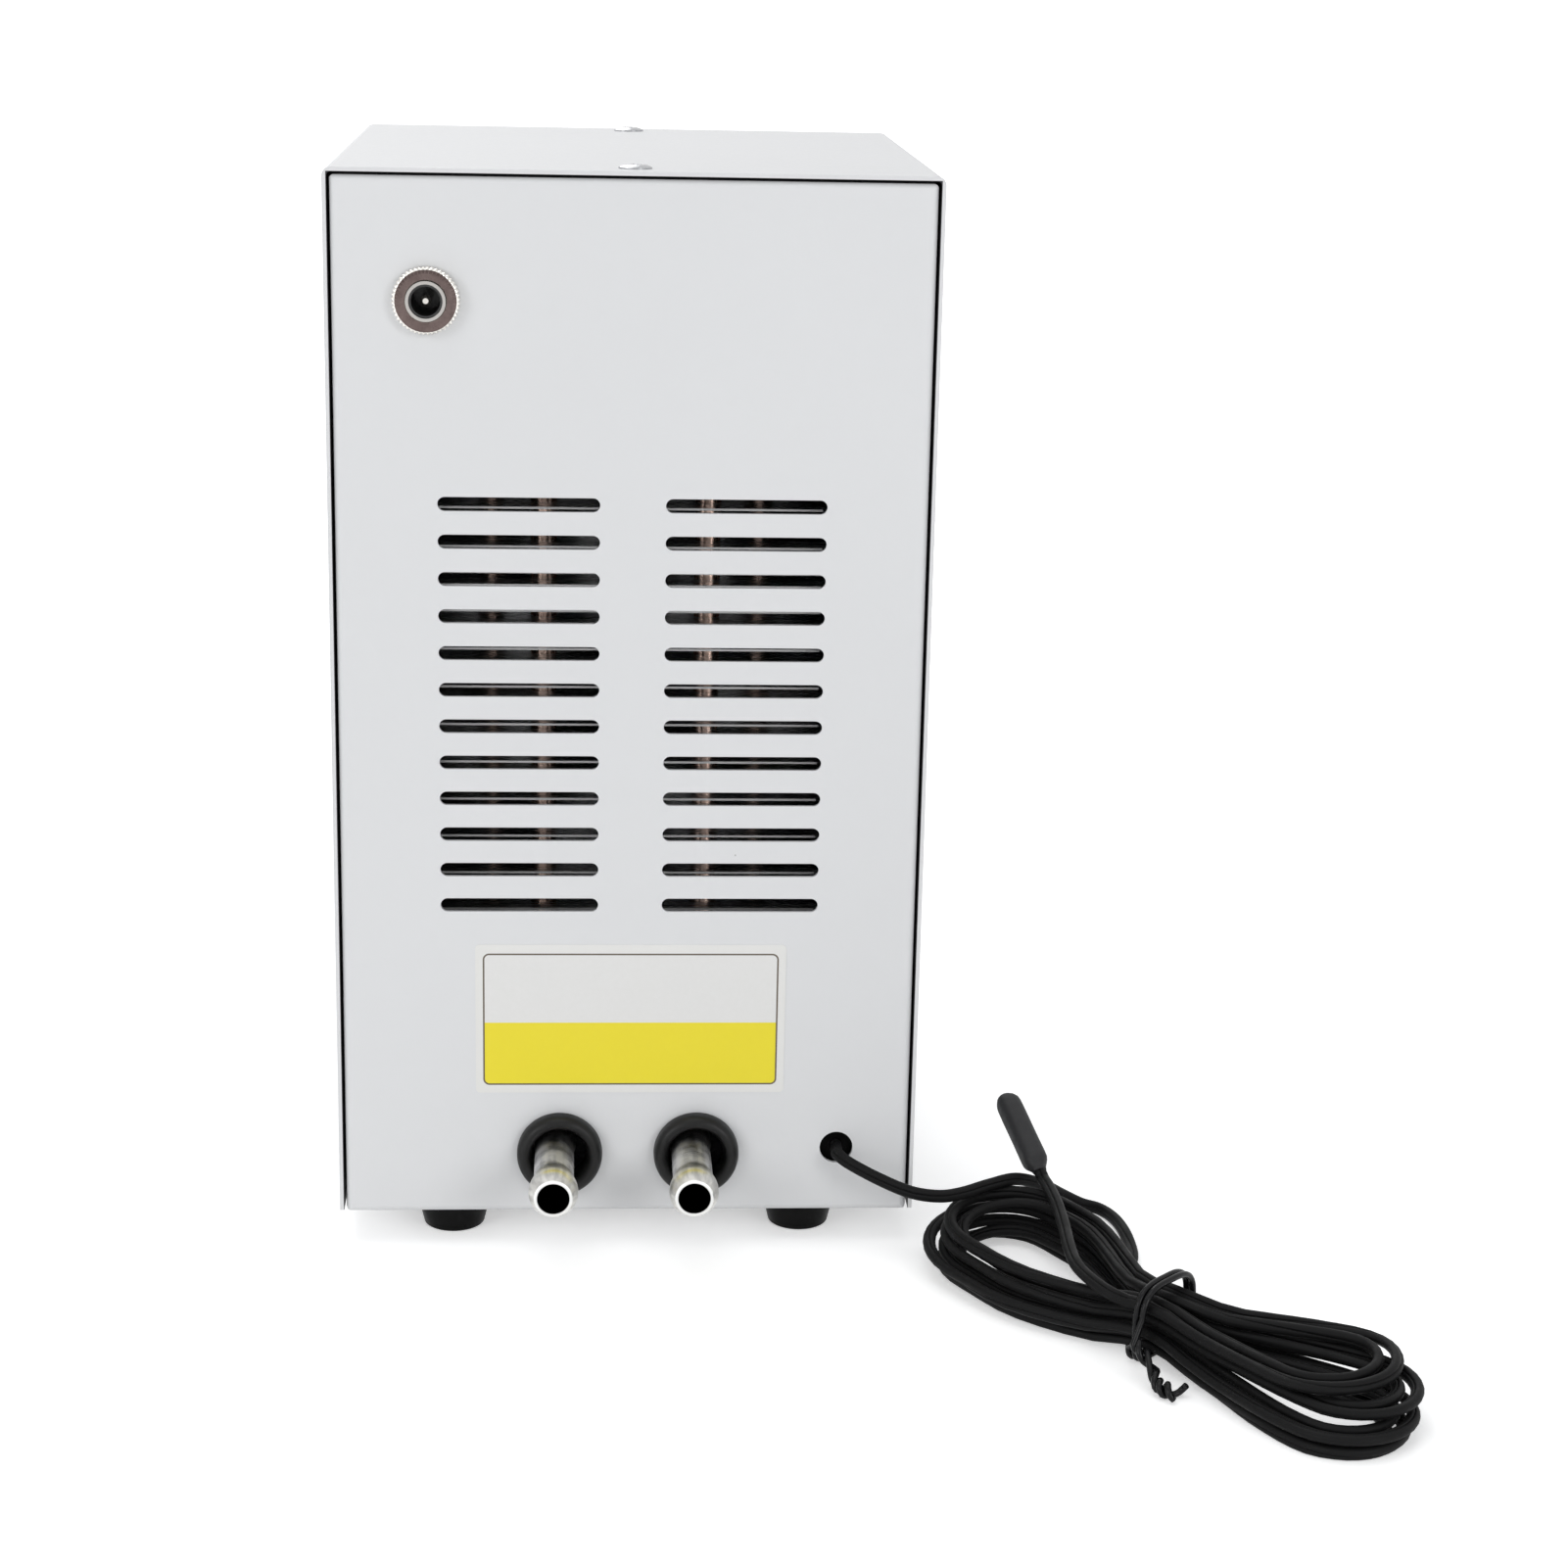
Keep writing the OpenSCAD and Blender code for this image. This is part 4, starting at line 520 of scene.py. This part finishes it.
def powder_coat(name, tint, gloss, painted_shade_inside):
    """A white coat with a fine orange peel, faint clouds, rare specks of dust and painted shade
    inside.
    """
    coat = Finish(name, roughness=0.5, **{"Specular IOR Level": gloss})
    peel = coat.noise(1150, 2)
    cloud = coat.noise(9, 3)
    speck = coat.cells(75)
    rare = coat.noise(21, 1) > 0.66
    dust = (speck < 0.016) * rare
    clean = coat.between(cloud, [c * 0.975 for c in tint], [min(c * 1.02, 1) for c in tint])
    dusty = coat.between(dust * 0.55, clean, (0.30, 0.29, 0.27))
    # Faces inside the housing are painted near black, a painted shade.
    coat.wear(color=coat.between(painted_shade_inside(*coat.axes()), dusty, (0.045, 0.045, 0.048)),
              roughness=coat.spread(peel, 0.25, 0.75, 0.42, 0.56))
    coat.bump(peel + coat.noise(320, 1) * 1.4, 0.00004, 0.45)
    return coat


def inside_chassis(x, y, z):
    within = (y < shell_rear - inner_face) * (y > shell_front + inner_face)
    return within * (z > shell_base + inner_face)


def inside_cover(x, y, z):
    return (abs(x) < cover_high.x - inner_face) * (z < cover_high.z - inner_face)


dress("chassis", powder_coat("chassis_powder_coat", (0.74, 0.745, 0.755), 0.4, inside_chassis))
dress("cover", powder_coat("cover_powder_coat", (0.75, 0.752, 0.76), 0.12, inside_cover))


# Cover screws. Pan head machine screws with a cross recess, zinc plated, which hold the cover to
# the chassis flanges: two on top and two low on each side.
def turned(profile, sides, wave=None):
    """Rings of a turned form about +Z from (radius, height) points. A wave may shape each ring."""
    rings = []
    for radius, height in profile:
        ring = []
        for k in range(sides):
            angle = 2 * math.pi * k / sides
            r, h = wave(radius, height, angle) if wave else (radius, height)
            ring.append(Vector((r * math.cos(angle), r * math.sin(angle), h)))
        rings.append(ring)
    return rings


def set_in(rings, place, direction, spin=0):
    """Moves turned rings to a place, with +Z turned to a direction."""
    turn = Vector(direction).to_track_quat("Z", "X") @ Quaternion((0, 0, 1), spin)
    return [[Vector(place) + turn @ p for p in ring] for ring in rings]


def joined(parts):
    """One list of points and faces from several."""
    points, faces = [], []
    for part_points, part_faces in parts:
        start = len(points)
        points += part_points
        faces += [tuple(start + i for i in face) for face in part_faces]
    return points, faces


screw_head_r, screw_head_h, screw_rim_h = 3.7 * mm, 0.95 * mm, 0.3325 * mm
recess_r, recess_half_w, recess_depth = 1.8 * mm, 0.42 * mm, 0.6 * mm
crown_steps, head_facets, shank_facets = 16, 72, 24


def cross_recess(radius, height, angle):
    """Sinks a Phillips cross into a screw head's crown."""
    x, y = abs(radius * math.cos(angle)), abs(radius * math.sin(angle))
    across, along = min(x, y), max(x, y)
    wall = smooth_step((recess_half_w * 1.25 - across) / (recess_half_w * 0.5))
    reach = smooth_step((recess_r - along) / (recess_r * 0.45))
    return radius, height - recess_depth * wall * reach


def pan_head(place, direction, spin):
    """A screw's head: a straight rim, a crown that levels off, and a cross sunk into it."""
    crown = [(screw_head_r, 0), (screw_head_r, screw_rim_h)]
    for k in range(1, crown_steps + 1):
        fall = k / crown_steps
        rise = math.sin(math.pi / 2 * min(1, fall * 1.7)) ** 0.9
        crown.append((screw_head_r * (1 - fall), screw_rim_h + (screw_head_h - screw_rim_h) * rise))
    crown[-1] = (screw_head_r * 0.01, screw_head_h)
    rings = turned(crown, head_facets, cross_recess)
    return skinned(set_in(rings, place, direction, spin))


def plated(name, color, roughness):
    plate = Finish(name, color, roughness, 1.0)
    tarnish = plate.noise(900, 4)
    plate.wear(color=plate.between(tarnish, [c * 0.82 for c in color], color),
               roughness=plate.spread(tarnish, 0.3, 0.75, roughness * 0.8, roughness * 1.5))
    plate.bump(plate.noise(4000, 2), 0.00001, 0.4)
    return plate


zinc = plated("zinc_plate", (0.47, 0.475, 0.49), 0.24)
top_screw_in, side_screw_in, side_screw_z = 9 * mm, 30 * mm, 14 * mm
shank_r, shank_len = 1.5 * mm, 7 * mm
shank_profile = [(shank_r, 0), (shank_r, -shank_len + shank_r), (shank_r * 0.5, -shank_len)]
first_spin, next_spin = 0.5, 1.1
heads = [((0, y, cover_high.z), (0, 0, 1))
         for y in (shell_front + top_screw_in, shell_rear - top_screw_in)]
heads += [((side * cover_high.x, y, side_screw_z), (side, 0, 0))
          for side in (-1, 1) for y in (shell_front + side_screw_in, shell_rear - side_screw_in)]
screw_parts = []
for k, (place, direction) in enumerate(heads):
    screw_parts.append(pan_head(place, direction, first_spin + next_spin * k))
    shank = turned(shank_profile, shank_facets)
    screw_parts.append(skinned(set_in(shank, place, direction)[::-1]))
cover_screws = new_piece("cover_screw_set", *joined(screw_parts), sharp_angle=40)
cover_screws.data.materials.append(zinc.material)
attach(cover_screws, "housing")
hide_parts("cover_screws")
for node in ("foot_screws", "foot_nuts", "hold_down_screws", "hold_down_posts", "hold_down_bars"):
    dress(node, zinc)


# Feet. Tapered bumpers moulded in black rubber, each screwed on through a recess in its underside.
# They carry a fine mould grain and are dull where they were handled.
def moulded_rubber(name, dark, pale, grain, gloss):
    """Black rubber with a cloudy bloom and a fine mould grain."""
    rubber = Finish(name, roughness=0.4, **{"Specular IOR Level": gloss})
    bloom = rubber.noise(260, 4)
    pores = rubber.noise(grain, 2)
    rubber.wear(color=rubber.between(bloom, (dark,) * 3, (pale,) * 3),
                roughness=rubber.spread(bloom, 0.3, 0.7, 0.32, 0.46))
    rubber.bump(pores + bloom * 0.5, 0.00005, 0.5)
    return rubber


dress("rubber_feet", moulded_rubber("foot_rubber", 0.003, 0.006, 3200, 0.08))

# Rear label. A sticker on clear film, printed in two flat tones inside a thin dark key line. It is
# left blank, and pressed on just above the water tubes.
label_low, label_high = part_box("rear_label")
label_middle = (label_low + label_high) / 2
key_half_w, key_half_h, key_corner, key_line = 34.0 * mm, 15.95 * mm, 1.3 * mm, 0.38 * mm
key_z, tone_z = 56.05 * mm, 55.3 * mm
film = Finish("label_film", roughness=0.34, **{"Coat Weight": 0.12, "Coat Roughness": 0.12})
label_x, _, label_z = film.axes()
zero_x = abs(label_x - label_middle.x) - (key_half_w - key_corner)
zero_z = abs(label_z - key_z) - (key_half_h - key_corner)
out_x = zero_x.math("MAXIMUM", zero_x, 0)
out_z = zero_z.math("MAXIMUM", zero_z, 0)
nearer = zero_x.math("MINIMUM", zero_x.math("MAXIMUM", zero_x, zero_z), 0)
outside = out_x.away(out_z) + nearer - key_corner
inked = film.noise(800, 3)
yellow = film.between(inked, (0.835, 0.705, 0.012), (0.855, 0.725, 0.016))
white = film.between(inked, (0.755, 0.75, 0.735), (0.785, 0.78, 0.77))
border = film.between(inked, (0.775, 0.77, 0.75), (0.795, 0.79, 0.77))
tones = film.between(label_z > tone_z, yellow, white)
printed = film.between(outside > 0, tones, border)
film.wear(color=film.between(abs(outside) < key_line / 2, printed, (0.10, 0.07, 0.045)),
          roughness=film.spread(inked, 0.3, 0.7, 0.31, 0.35))
film.bump(film.noise(60, 2), 0.00002, 0.3)
dress("rear_label", film)

# Power socket. A barrel jack whose threaded sleeve comes through the panel and is held by a round
# knurled nut, both bright nickel. A black insert carries the centre pin.
nut_low, nut_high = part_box("power_jack_nut")
jack_centre = Vector(((nut_low.x + nut_high.x) / 2, nut_low.y, (nut_low.z + nut_high.z) / 2))
nut_r, nut_t = (nut_high.z - nut_low.z) / 2, nut_high.y - nut_low.y
nut_bore, nut_edge = 4.45 * mm, 4.6 * mm
nut_teeth, facets_per_tooth, nut_bevel = 48, 4, 0.45 * mm
knurl_depth, knurl_proud = 0.36 * mm, 0.6


def knurl(radius, height, angle):
    """Straight teeth round the nut, fading out on its bevels. Part of their depth stands proud."""
    tooth = abs(((angle * nut_teeth / math.tau) % 1) * 2 - 1)
    share = smooth_step((radius - (nut_r - 1.2 * nut_bevel)) / (0.9 * nut_bevel))
    return radius + knurl_depth * share * (knurl_proud - tooth), height


nut_profile = [(nut_bore, 0), (nut_r - nut_bevel, 0), (nut_r, nut_bevel),
               (nut_r, nut_t - nut_bevel), (nut_r - nut_bevel * 0.7, nut_t - 0.12 * mm),
               (nut_r - nut_bevel * 1.1, nut_t), (nut_r * 0.80, nut_t), (nut_edge, nut_t),
               (nut_bore, nut_t - 0.2 * mm), (nut_bore, 0)]
nut_rings = set_in(turned(nut_profile, nut_teeth * facets_per_tooth, knurl), jack_centre, (0, 1, 0))
jack_nut = new_piece("power_jack_knurled_nut", *skinned(nut_rings, False), sharp_angle=30)
nickel = plated("bright_nickel", (0.52, 0.50, 0.47), 0.15)
# The nut's flat face is painted dark brown, a painted reflection, and its teeth and bevels stay
# bright
painted_reflection_nickel = plated("nickel_and_painted_reflection", (0.235, 0.175, 0.165), 0.20)
painted_reflection_tone = painted_reflection_nickel.between(painted_reflection_nickel.noise(420, 5), (0.055, 0.039, 0.037), (0.150, 0.115, 0.108))
painted_reflection_nickel.wear(color=painted_reflection_nickel.between(painted_reflection_nickel.rearward() > 0.96, (0.74, 0.72, 0.68), painted_reflection_tone))
jack_nut.data.materials.append(painted_reflection_nickel.material)
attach(jack_nut, "housing")
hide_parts("power_jack_nut")
dress("power_jack_pin", nickel)
dress("power_jack_shell", plated("sleeve_nickel", (0.36, 0.345, 0.33), 0.2))
insert = Finish("jack_insert", roughness=0.35)
insert.wear(color=insert.between(insert.noise(900), (0.004, 0.004, 0.004), (0.010, 0.010, 0.010)))
dress("power_jack_insulator", insert)

# Grommets. Soft black rubber rings snapped into the two big holes, with a domed outer flange, a
# groove for the sheet and a flat inner flange. The tubes pass through with room to spare.
grommet_low, grommet_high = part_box("grommets")
grommet_r = (grommet_high.z - grommet_low.z) / 2
grommet_z = (grommet_high.z + grommet_low.z) / 2
grommet_x = grommet_high.x - grommet_r
grommet_bore, grommet_groove = 6.5 * mm, 7.95 * mm
grommet_proud, grommet_back = 4.0 * mm, 3.0 * mm
crown_half, dome_edge, dome_steps = (grommet_r - grommet_bore) / 2, 0.22, 16
back_r, back_end = grommet_r - 0.7 * crown_half, -sheet_t - grommet_back
grommet_profile = [(grommet_bore, back_end), (grommet_r - crown_half, back_end),
                   (back_r, -sheet_t - 0.8 * grommet_back), (back_r, -sheet_t),
                   (grommet_groove, -sheet_t), (grommet_groove, 0), (grommet_r - 0.3 * mm, 0),
                   (grommet_r, 0.35 * mm)]
for k in range(dome_steps + 1):
    swing = math.pi * k / dome_steps
    dome = dome_edge + (1 - dome_edge) * max(math.sin(swing), 0) ** 0.8
    grommet_profile.append((grommet_r - crown_half * (1 - math.cos(swing)), grommet_proud * dome))
grommet_profile += [(grommet_bore, 0), grommet_profile[0]]
rings_of_rubber = []
for side in (-1, 1):
    rings = turned(grommet_profile, 96)
    rings = set_in(rings, (side * grommet_x, shell_rear, grommet_z), (0, 1, 0))
    rings_of_rubber.append(skinned(rings, False))
grommets = new_piece("tube_grommets", *joined(rings_of_rubber), sharp_angle=55)
grommets.data.materials.append(moulded_rubber("grommet_rubber", 0.0025, 0.006, 2400, 0.27).material)
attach(grommets, "housing")
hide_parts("grommets")

# Water tubes. Turned from aluminium tube, with a rounded bead that grips the hose and a short
# rounded nose. They are pressed into the cold block and left with their tool marks.
tube_r, neck_r, bead_r, nose_r, bore_r = [v * mm for v in (4.9, 4.6, 5.65, 4.5, 3.5)]
shoulder_back, neck_back, rise_back, rise_len = [v * mm for v in (3, 11.8, 11.4, 7.2)]
bead_back, nose_len, rise_steps, nose_steps = 3.7 * mm, 3.3 * mm, 12, 7
# The first two values give where the painted shade by the panel fades out
panel_shade_start, panel_shade_end, bead_shine_start, bead_shine_end = [v * mm for v in (1, 7, 9, 5)]


def tube_outline(shoulder, tip):
    """Half a section of a tube, from its inner end to its nose and back along the bore."""
    outline = [(bore_r, 0), (tube_r - 0.3 * mm, 0), (tube_r, 0.3 * mm), (tube_r, shoulder - 1 * mm),
               (neck_r, shoulder), (neck_r, tip - neck_back)]
    for k in range(rise_steps + 1):
        rise = k / rise_steps
        outline.append((neck_r + (bead_r - neck_r) * smooth_step(rise),
                        tip - rise_back + rise_len * rise))
    outline.append((bead_r, tip - bead_back))
    for k in range(1, nose_steps + 1):
        fall = k / nose_steps
        outline.append((bead_r - (bead_r - nose_r) * (1 - math.cos(math.pi / 2 * fall)),
                        tip - bead_back + nose_len * fall))
    return outline + [(nose_r - 0.10 * mm, tip - 0.14 * mm), (nose_r - 0.30 * mm, tip),
                      (bore_r + 0.22 * mm, tip), (bore_r, tip - 0.3 * mm), (bore_r, 0)]


def turned_aluminium(name, axis, mouth):
    """Turned metal, with streaks that are partly handling marks and partly painted reflections,
    polished on the bead with a painted highlight at the nose's end, and painted shade by the panel
    and in the bore.
    """
    metal = Finish(name, (0.60, 0.60, 0.61), 0.24, 1.0, **{"Anisotropic": 0.45})
    tool_marks = metal.noise(1.0, 3, metal.stretched((18, 5200, 18)))
    handling = metal.noise(230, 4)
    x, y, z = metal.axes()
    from_axis = (x - axis[0]).away(z - axis[2])
    # Near the panel the tube is painted dark, a painted shade inside the grommet.
    painted_panel_shade = metal.spread(y, shell_rear + panel_shade_start, shell_rear + panel_shade_end, 0.3, 1.0)
    drawn_lines = metal.noise(1.0, 3, metal.stretched((700, 25, 700)))
    # The streaks are partly handling and drawing marks and partly painted reflections.
    brushed_and_painted_reflection = metal.between(metal.spread(handling * 0.65 + drawn_lines * 0.35, 0.38, 0.6, 0, 1),
                            (0.44, 0.44, 0.445), (0.80, 0.795, 0.79))
    bead = metal.spread(y, mouth - bead_shine_start, mouth - bead_shine_end, 0, 1)
    polished_and_end_highlight = metal.between(metal.spread(drawn_lines, 0.36, 0.64, 0, 1),
                             (0.50, 0.495, 0.475), (0.70, 0.69, 0.66))
    # The nose's end ring is painted bright, a painted highlight.
    polished_and_end_highlight = metal.between(y > mouth - 0.2 * mm, polished_and_end_highlight, (0.78, 0.78, 0.77))
    outer = metal.between(painted_panel_shade, (0.17, 0.165, 0.16), metal.between(bead, brushed_and_painted_reflection, polished_and_end_highlight))
    # The bore is painted near black, a painted shade.
    metal.wear(color=metal.between(from_axis < bore_r + 0.12 * mm, outer, (0.008, 0.008, 0.008)),
               roughness=metal.spread(tool_marks, 0.3, 0.7, 0.24, 0.40) + handling * 0.06)
    metal.bump(tool_marks + handling * 2, 0.00001, 0.5)
    return metal


for node in ("water_inlet_tube", "water_outlet_tube"):
    tube_low, tube_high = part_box(node)
    outline = tube_outline(shell_rear - tube_low.y - shoulder_back, tube_high.y - tube_low.y)
    middle = ((tube_low.x + tube_high.x) / 2, tube_low.y, (tube_low.z + tube_high.z) / 2)
    rings = set_in(turned(outline, 96), middle, (0, 1, 0))
    tube = new_piece(node + "_turned", *skinned(rings, False), sharp_angle=50)
    metal = turned_aluminium(node + "_aluminium", middle, tube_high.y)
    tube.data.materials.append(metal.material)
    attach(tube, "housing")
    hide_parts(node)


# Cold side. A milled aluminium block in a tray of black closed-cell foam, with the cooling module
# and its foam frame on top. Foam is cut to size, and the module's plates are white ceramic.
def milled(name, along):
    metal = Finish(name, (0.62, 0.62, 0.63), 0.32, 1.0)
    marks = metal.noise(1.0, 3, metal.stretched(along))
    metal.wear(color=metal.between(marks, (0.50, 0.50, 0.51), (0.66, 0.66, 0.67)),
               roughness=metal.spread(marks, 0.3, 0.7, 0.24, 0.42))
    metal.bump(marks, 0.00002, 0.5)
    return metal


def foamed(name):
    foam = Finish(name, roughness=0.92)
    cells = foam.cells(1400)
    foam.wear(color=foam.between(cells, (0.008, 0.008, 0.009), (0.030, 0.030, 0.033)))
    foam.bump(cells, 0.0002, 0.7)
    return foam


dress("cold_block", milled("block_aluminium", (30, 2200, 30)))
foam_finish = foamed("black_foam")
for node in ("block_insulation", "module_gasket"):
    dress(node, foam_finish)
ceramic = Finish("module_ceramic", roughness=0.5)
ceramic.wear(color=ceramic.between(ceramic.noise(600, 3), (0.70, 0.70, 0.67), (0.82, 0.82, 0.80)))
dress("thermoelectric_module", ceramic)

# Heat sink. Four copper pipes are soldered between a milled plate and a saddle, and pressed through
# thin rolled fins. The copper has darkened unevenly. The fins keep their rolling lines, and their
# rear edges are painted near white and less metallic, a painted highlight.
dress("heatsink_base", milled("base_aluminium", (2200, 30, 30)))
dress("pipe_saddle", milled("saddle_aluminium", (30, 2200, 30)))
copper = Finish("drawn_copper", (0.78, 0.42, 0.27), 0.25, 1.0)
patina = copper.noise(140, 5)
drawn = copper.noise(1.0, 3, copper.stretched((1600, 1600, 25)))
copper.wear(color=copper.between(patina, (0.46, 0.30, 0.23), (0.88, 0.68, 0.58)),
            roughness=copper.spread(drawn, 0.3, 0.7, 0.18, 0.36))
copper.bump(drawn, 0.00001, 0.4)
dress("heat_pipes", copper)
fins = Finish("rolled_fin", (0.74, 0.74, 0.75), 0.3, 1.0)
rolling = fins.noise(1.0, 3, fins.stretched((12, 1500, 60)))
rolled = fins.between(fins.noise(55, 4), (0.60, 0.60, 0.61), (0.80, 0.80, 0.81))
# The fins' rear edges are painted near white, a painted highlight.
painted_edge_highlight = fins.rearward() > 0.9
fins.wear(color=fins.between(painted_edge_highlight, rolled, (0.95, 0.95, 0.95)),
          roughness=fins.spread(rolling, 0.3, 0.7, 0.22, 0.4), metallic=1 - painted_edge_highlight * 0.8)
fins.bump(rolling, 0.00001, 0.4)
dress("fin_stack", fins)


# Fan. Frame and rotor are moulded in black glass-filled plastic. The shaft is ground steel in a
# sintered bronze sleeve, and the stator's laminations carry lacquered copper windings.
def moulded(name, dark, pale, roughness, grain=2600):
    plastic = Finish(name, roughness=roughness, **{"Specular IOR Level": 0.25})
    flow = plastic.noise(90, 4)
    texture = plastic.noise(grain, 2)
    plastic.wear(color=plastic.between(flow, dark, pale),
                 roughness=plastic.spread(texture, 0.3, 0.7, roughness * 0.85, roughness * 1.15))
    plastic.bump(texture, 0.00003, 0.5)
    return plastic


fan_black = moulded("fan_plastic", (0.010, 0.010, 0.011), (0.020, 0.020, 0.021), 0.42)
for node in ("fan_frame", "fan_rotor"):
    dress(node, fan_black)
for node in ("fan_shaft", "fan_retaining_ring", "fan_clips"):
    dress(node, plated("steel_of_" + node, (0.60, 0.60, 0.61), 0.22))
dress("fan_bearing", plated("sintered_bronze", (0.55, 0.38, 0.20), 0.5))
dress("rotor_magnet", moulded("bonded_ferrite", (0.030, 0.027, 0.026), (0.055, 0.050, 0.048), 0.7))
dress("fan_stator", plated("lacquered_winding", (0.52, 0.20, 0.08), 0.3))

# Control panel. A black moulded case clipped into the front panel, with a tinted window in a black
# printed edge over a dark display, three grey keys on small switches, and a board with a green
# terminal strip behind.
case_plastic = moulded("panel_plastic", (0.008, 0.008, 0.009), (0.014, 0.014, 0.015), 0.45, 1800)
for node in ("controller_case", "controller_back"):
    dress(node, case_plastic)
dress("controller_clips", moulded("clip_plastic", (0.62, 0.16, 0.015), (0.75, 0.22, 0.025), 0.35))
lens_low, lens_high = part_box("display_lens")
lens_middle, lens_half = (lens_low + lens_high) / 2, (lens_high - lens_low) / 2
printed_edge_x, printed_edge_z = 2.4 * mm, 1.8 * mm
window = Finish("display_window", roughness=0.1, **{"Specular IOR Level": 0.2})
tint = window.noise(14, 2)
red = window.between(tint, (0.016, 0.0012, 0.0014), (0.028, 0.0022, 0.0026))
lens_x, _, lens_z = window.axes()
clear_x = abs(lens_x - lens_middle.x) < lens_half.x - printed_edge_x
clear_z = abs(lens_z - lens_middle.z) < lens_half.z - printed_edge_z
window.wear(color=window.between(clear_x * clear_z, (0.003, 0.003, 0.003), red),
            roughness=window.spread(window.noise(300, 3), 0.3, 0.7, 0.06, 0.14))
dress("display_lens", window)
dress("display_module", moulded("display_body", (0.010, 0.010, 0.010), (0.016, 0.016, 0.016), 0.3))
board = Finish("solder_mask", roughness=0.3, **{"Coat Weight": 0.4})
tracks = board.noise(1.0, 2, board.stretched((700, 700, 220)))
board.wear(color=board.between(tracks > 0.52, (0.010, 0.095, 0.032), (0.020, 0.150, 0.055)))
dress("controller_board", board)
dress("tact_switches", moulded("switch_plastic", (0.012, 0.012, 0.012), (0.022, 0.022, 0.022), 0.4))
dress("terminal_block", moulded("terminal_plastic", (0.020, 0.17, 0.07), (0.035, 0.24, 0.10), 0.45))
for node in ("set_button", "up_button", "down_button"):
    dress(node, moulded(node + "_plastic", (0.34, 0.34, 0.35), (0.42, 0.42, 0.43), 0.45))


# Wiring. Extruded vinyl wires run from the socket, the fan, the module and the sensor to the
# terminals, dull and slightly dusty. A collar on the sensor lead takes the pull.
def wire_vinyl(name, color, gloss=0.4):
    skin = Finish(name, color, 0.45, **{"Specular IOR Level": gloss})
    dusty = skin.noise(300, 4)
    skin.wear(color=skin.between(dusty, [c * 0.75 for c in color], color),
              roughness=skin.spread(dusty, 0.3, 0.7, 0.38, 0.55))
    skin.bump(skin.noise(2500), 0.00002, 0.4)
    return skin


# The collar is near black and glossless: partly its black nylon, partly painted shade for the hole.
dress("lead_retainer", wire_vinyl("retainer_nylon_and_hole_shade", (0.002,) * 3, 0.04))
for node, color in (("sensor_lead_inner", (0.012,) * 3), ("power_leads", (0.45, 0.02, 0.015)),
                    ("fan_leads", (0.62, 0.44, 0.04)),
                    ("module_leads", (0.20, 0.035, 0.02))):
    dress(node, wire_vinyl("wire_of_" + node, color))
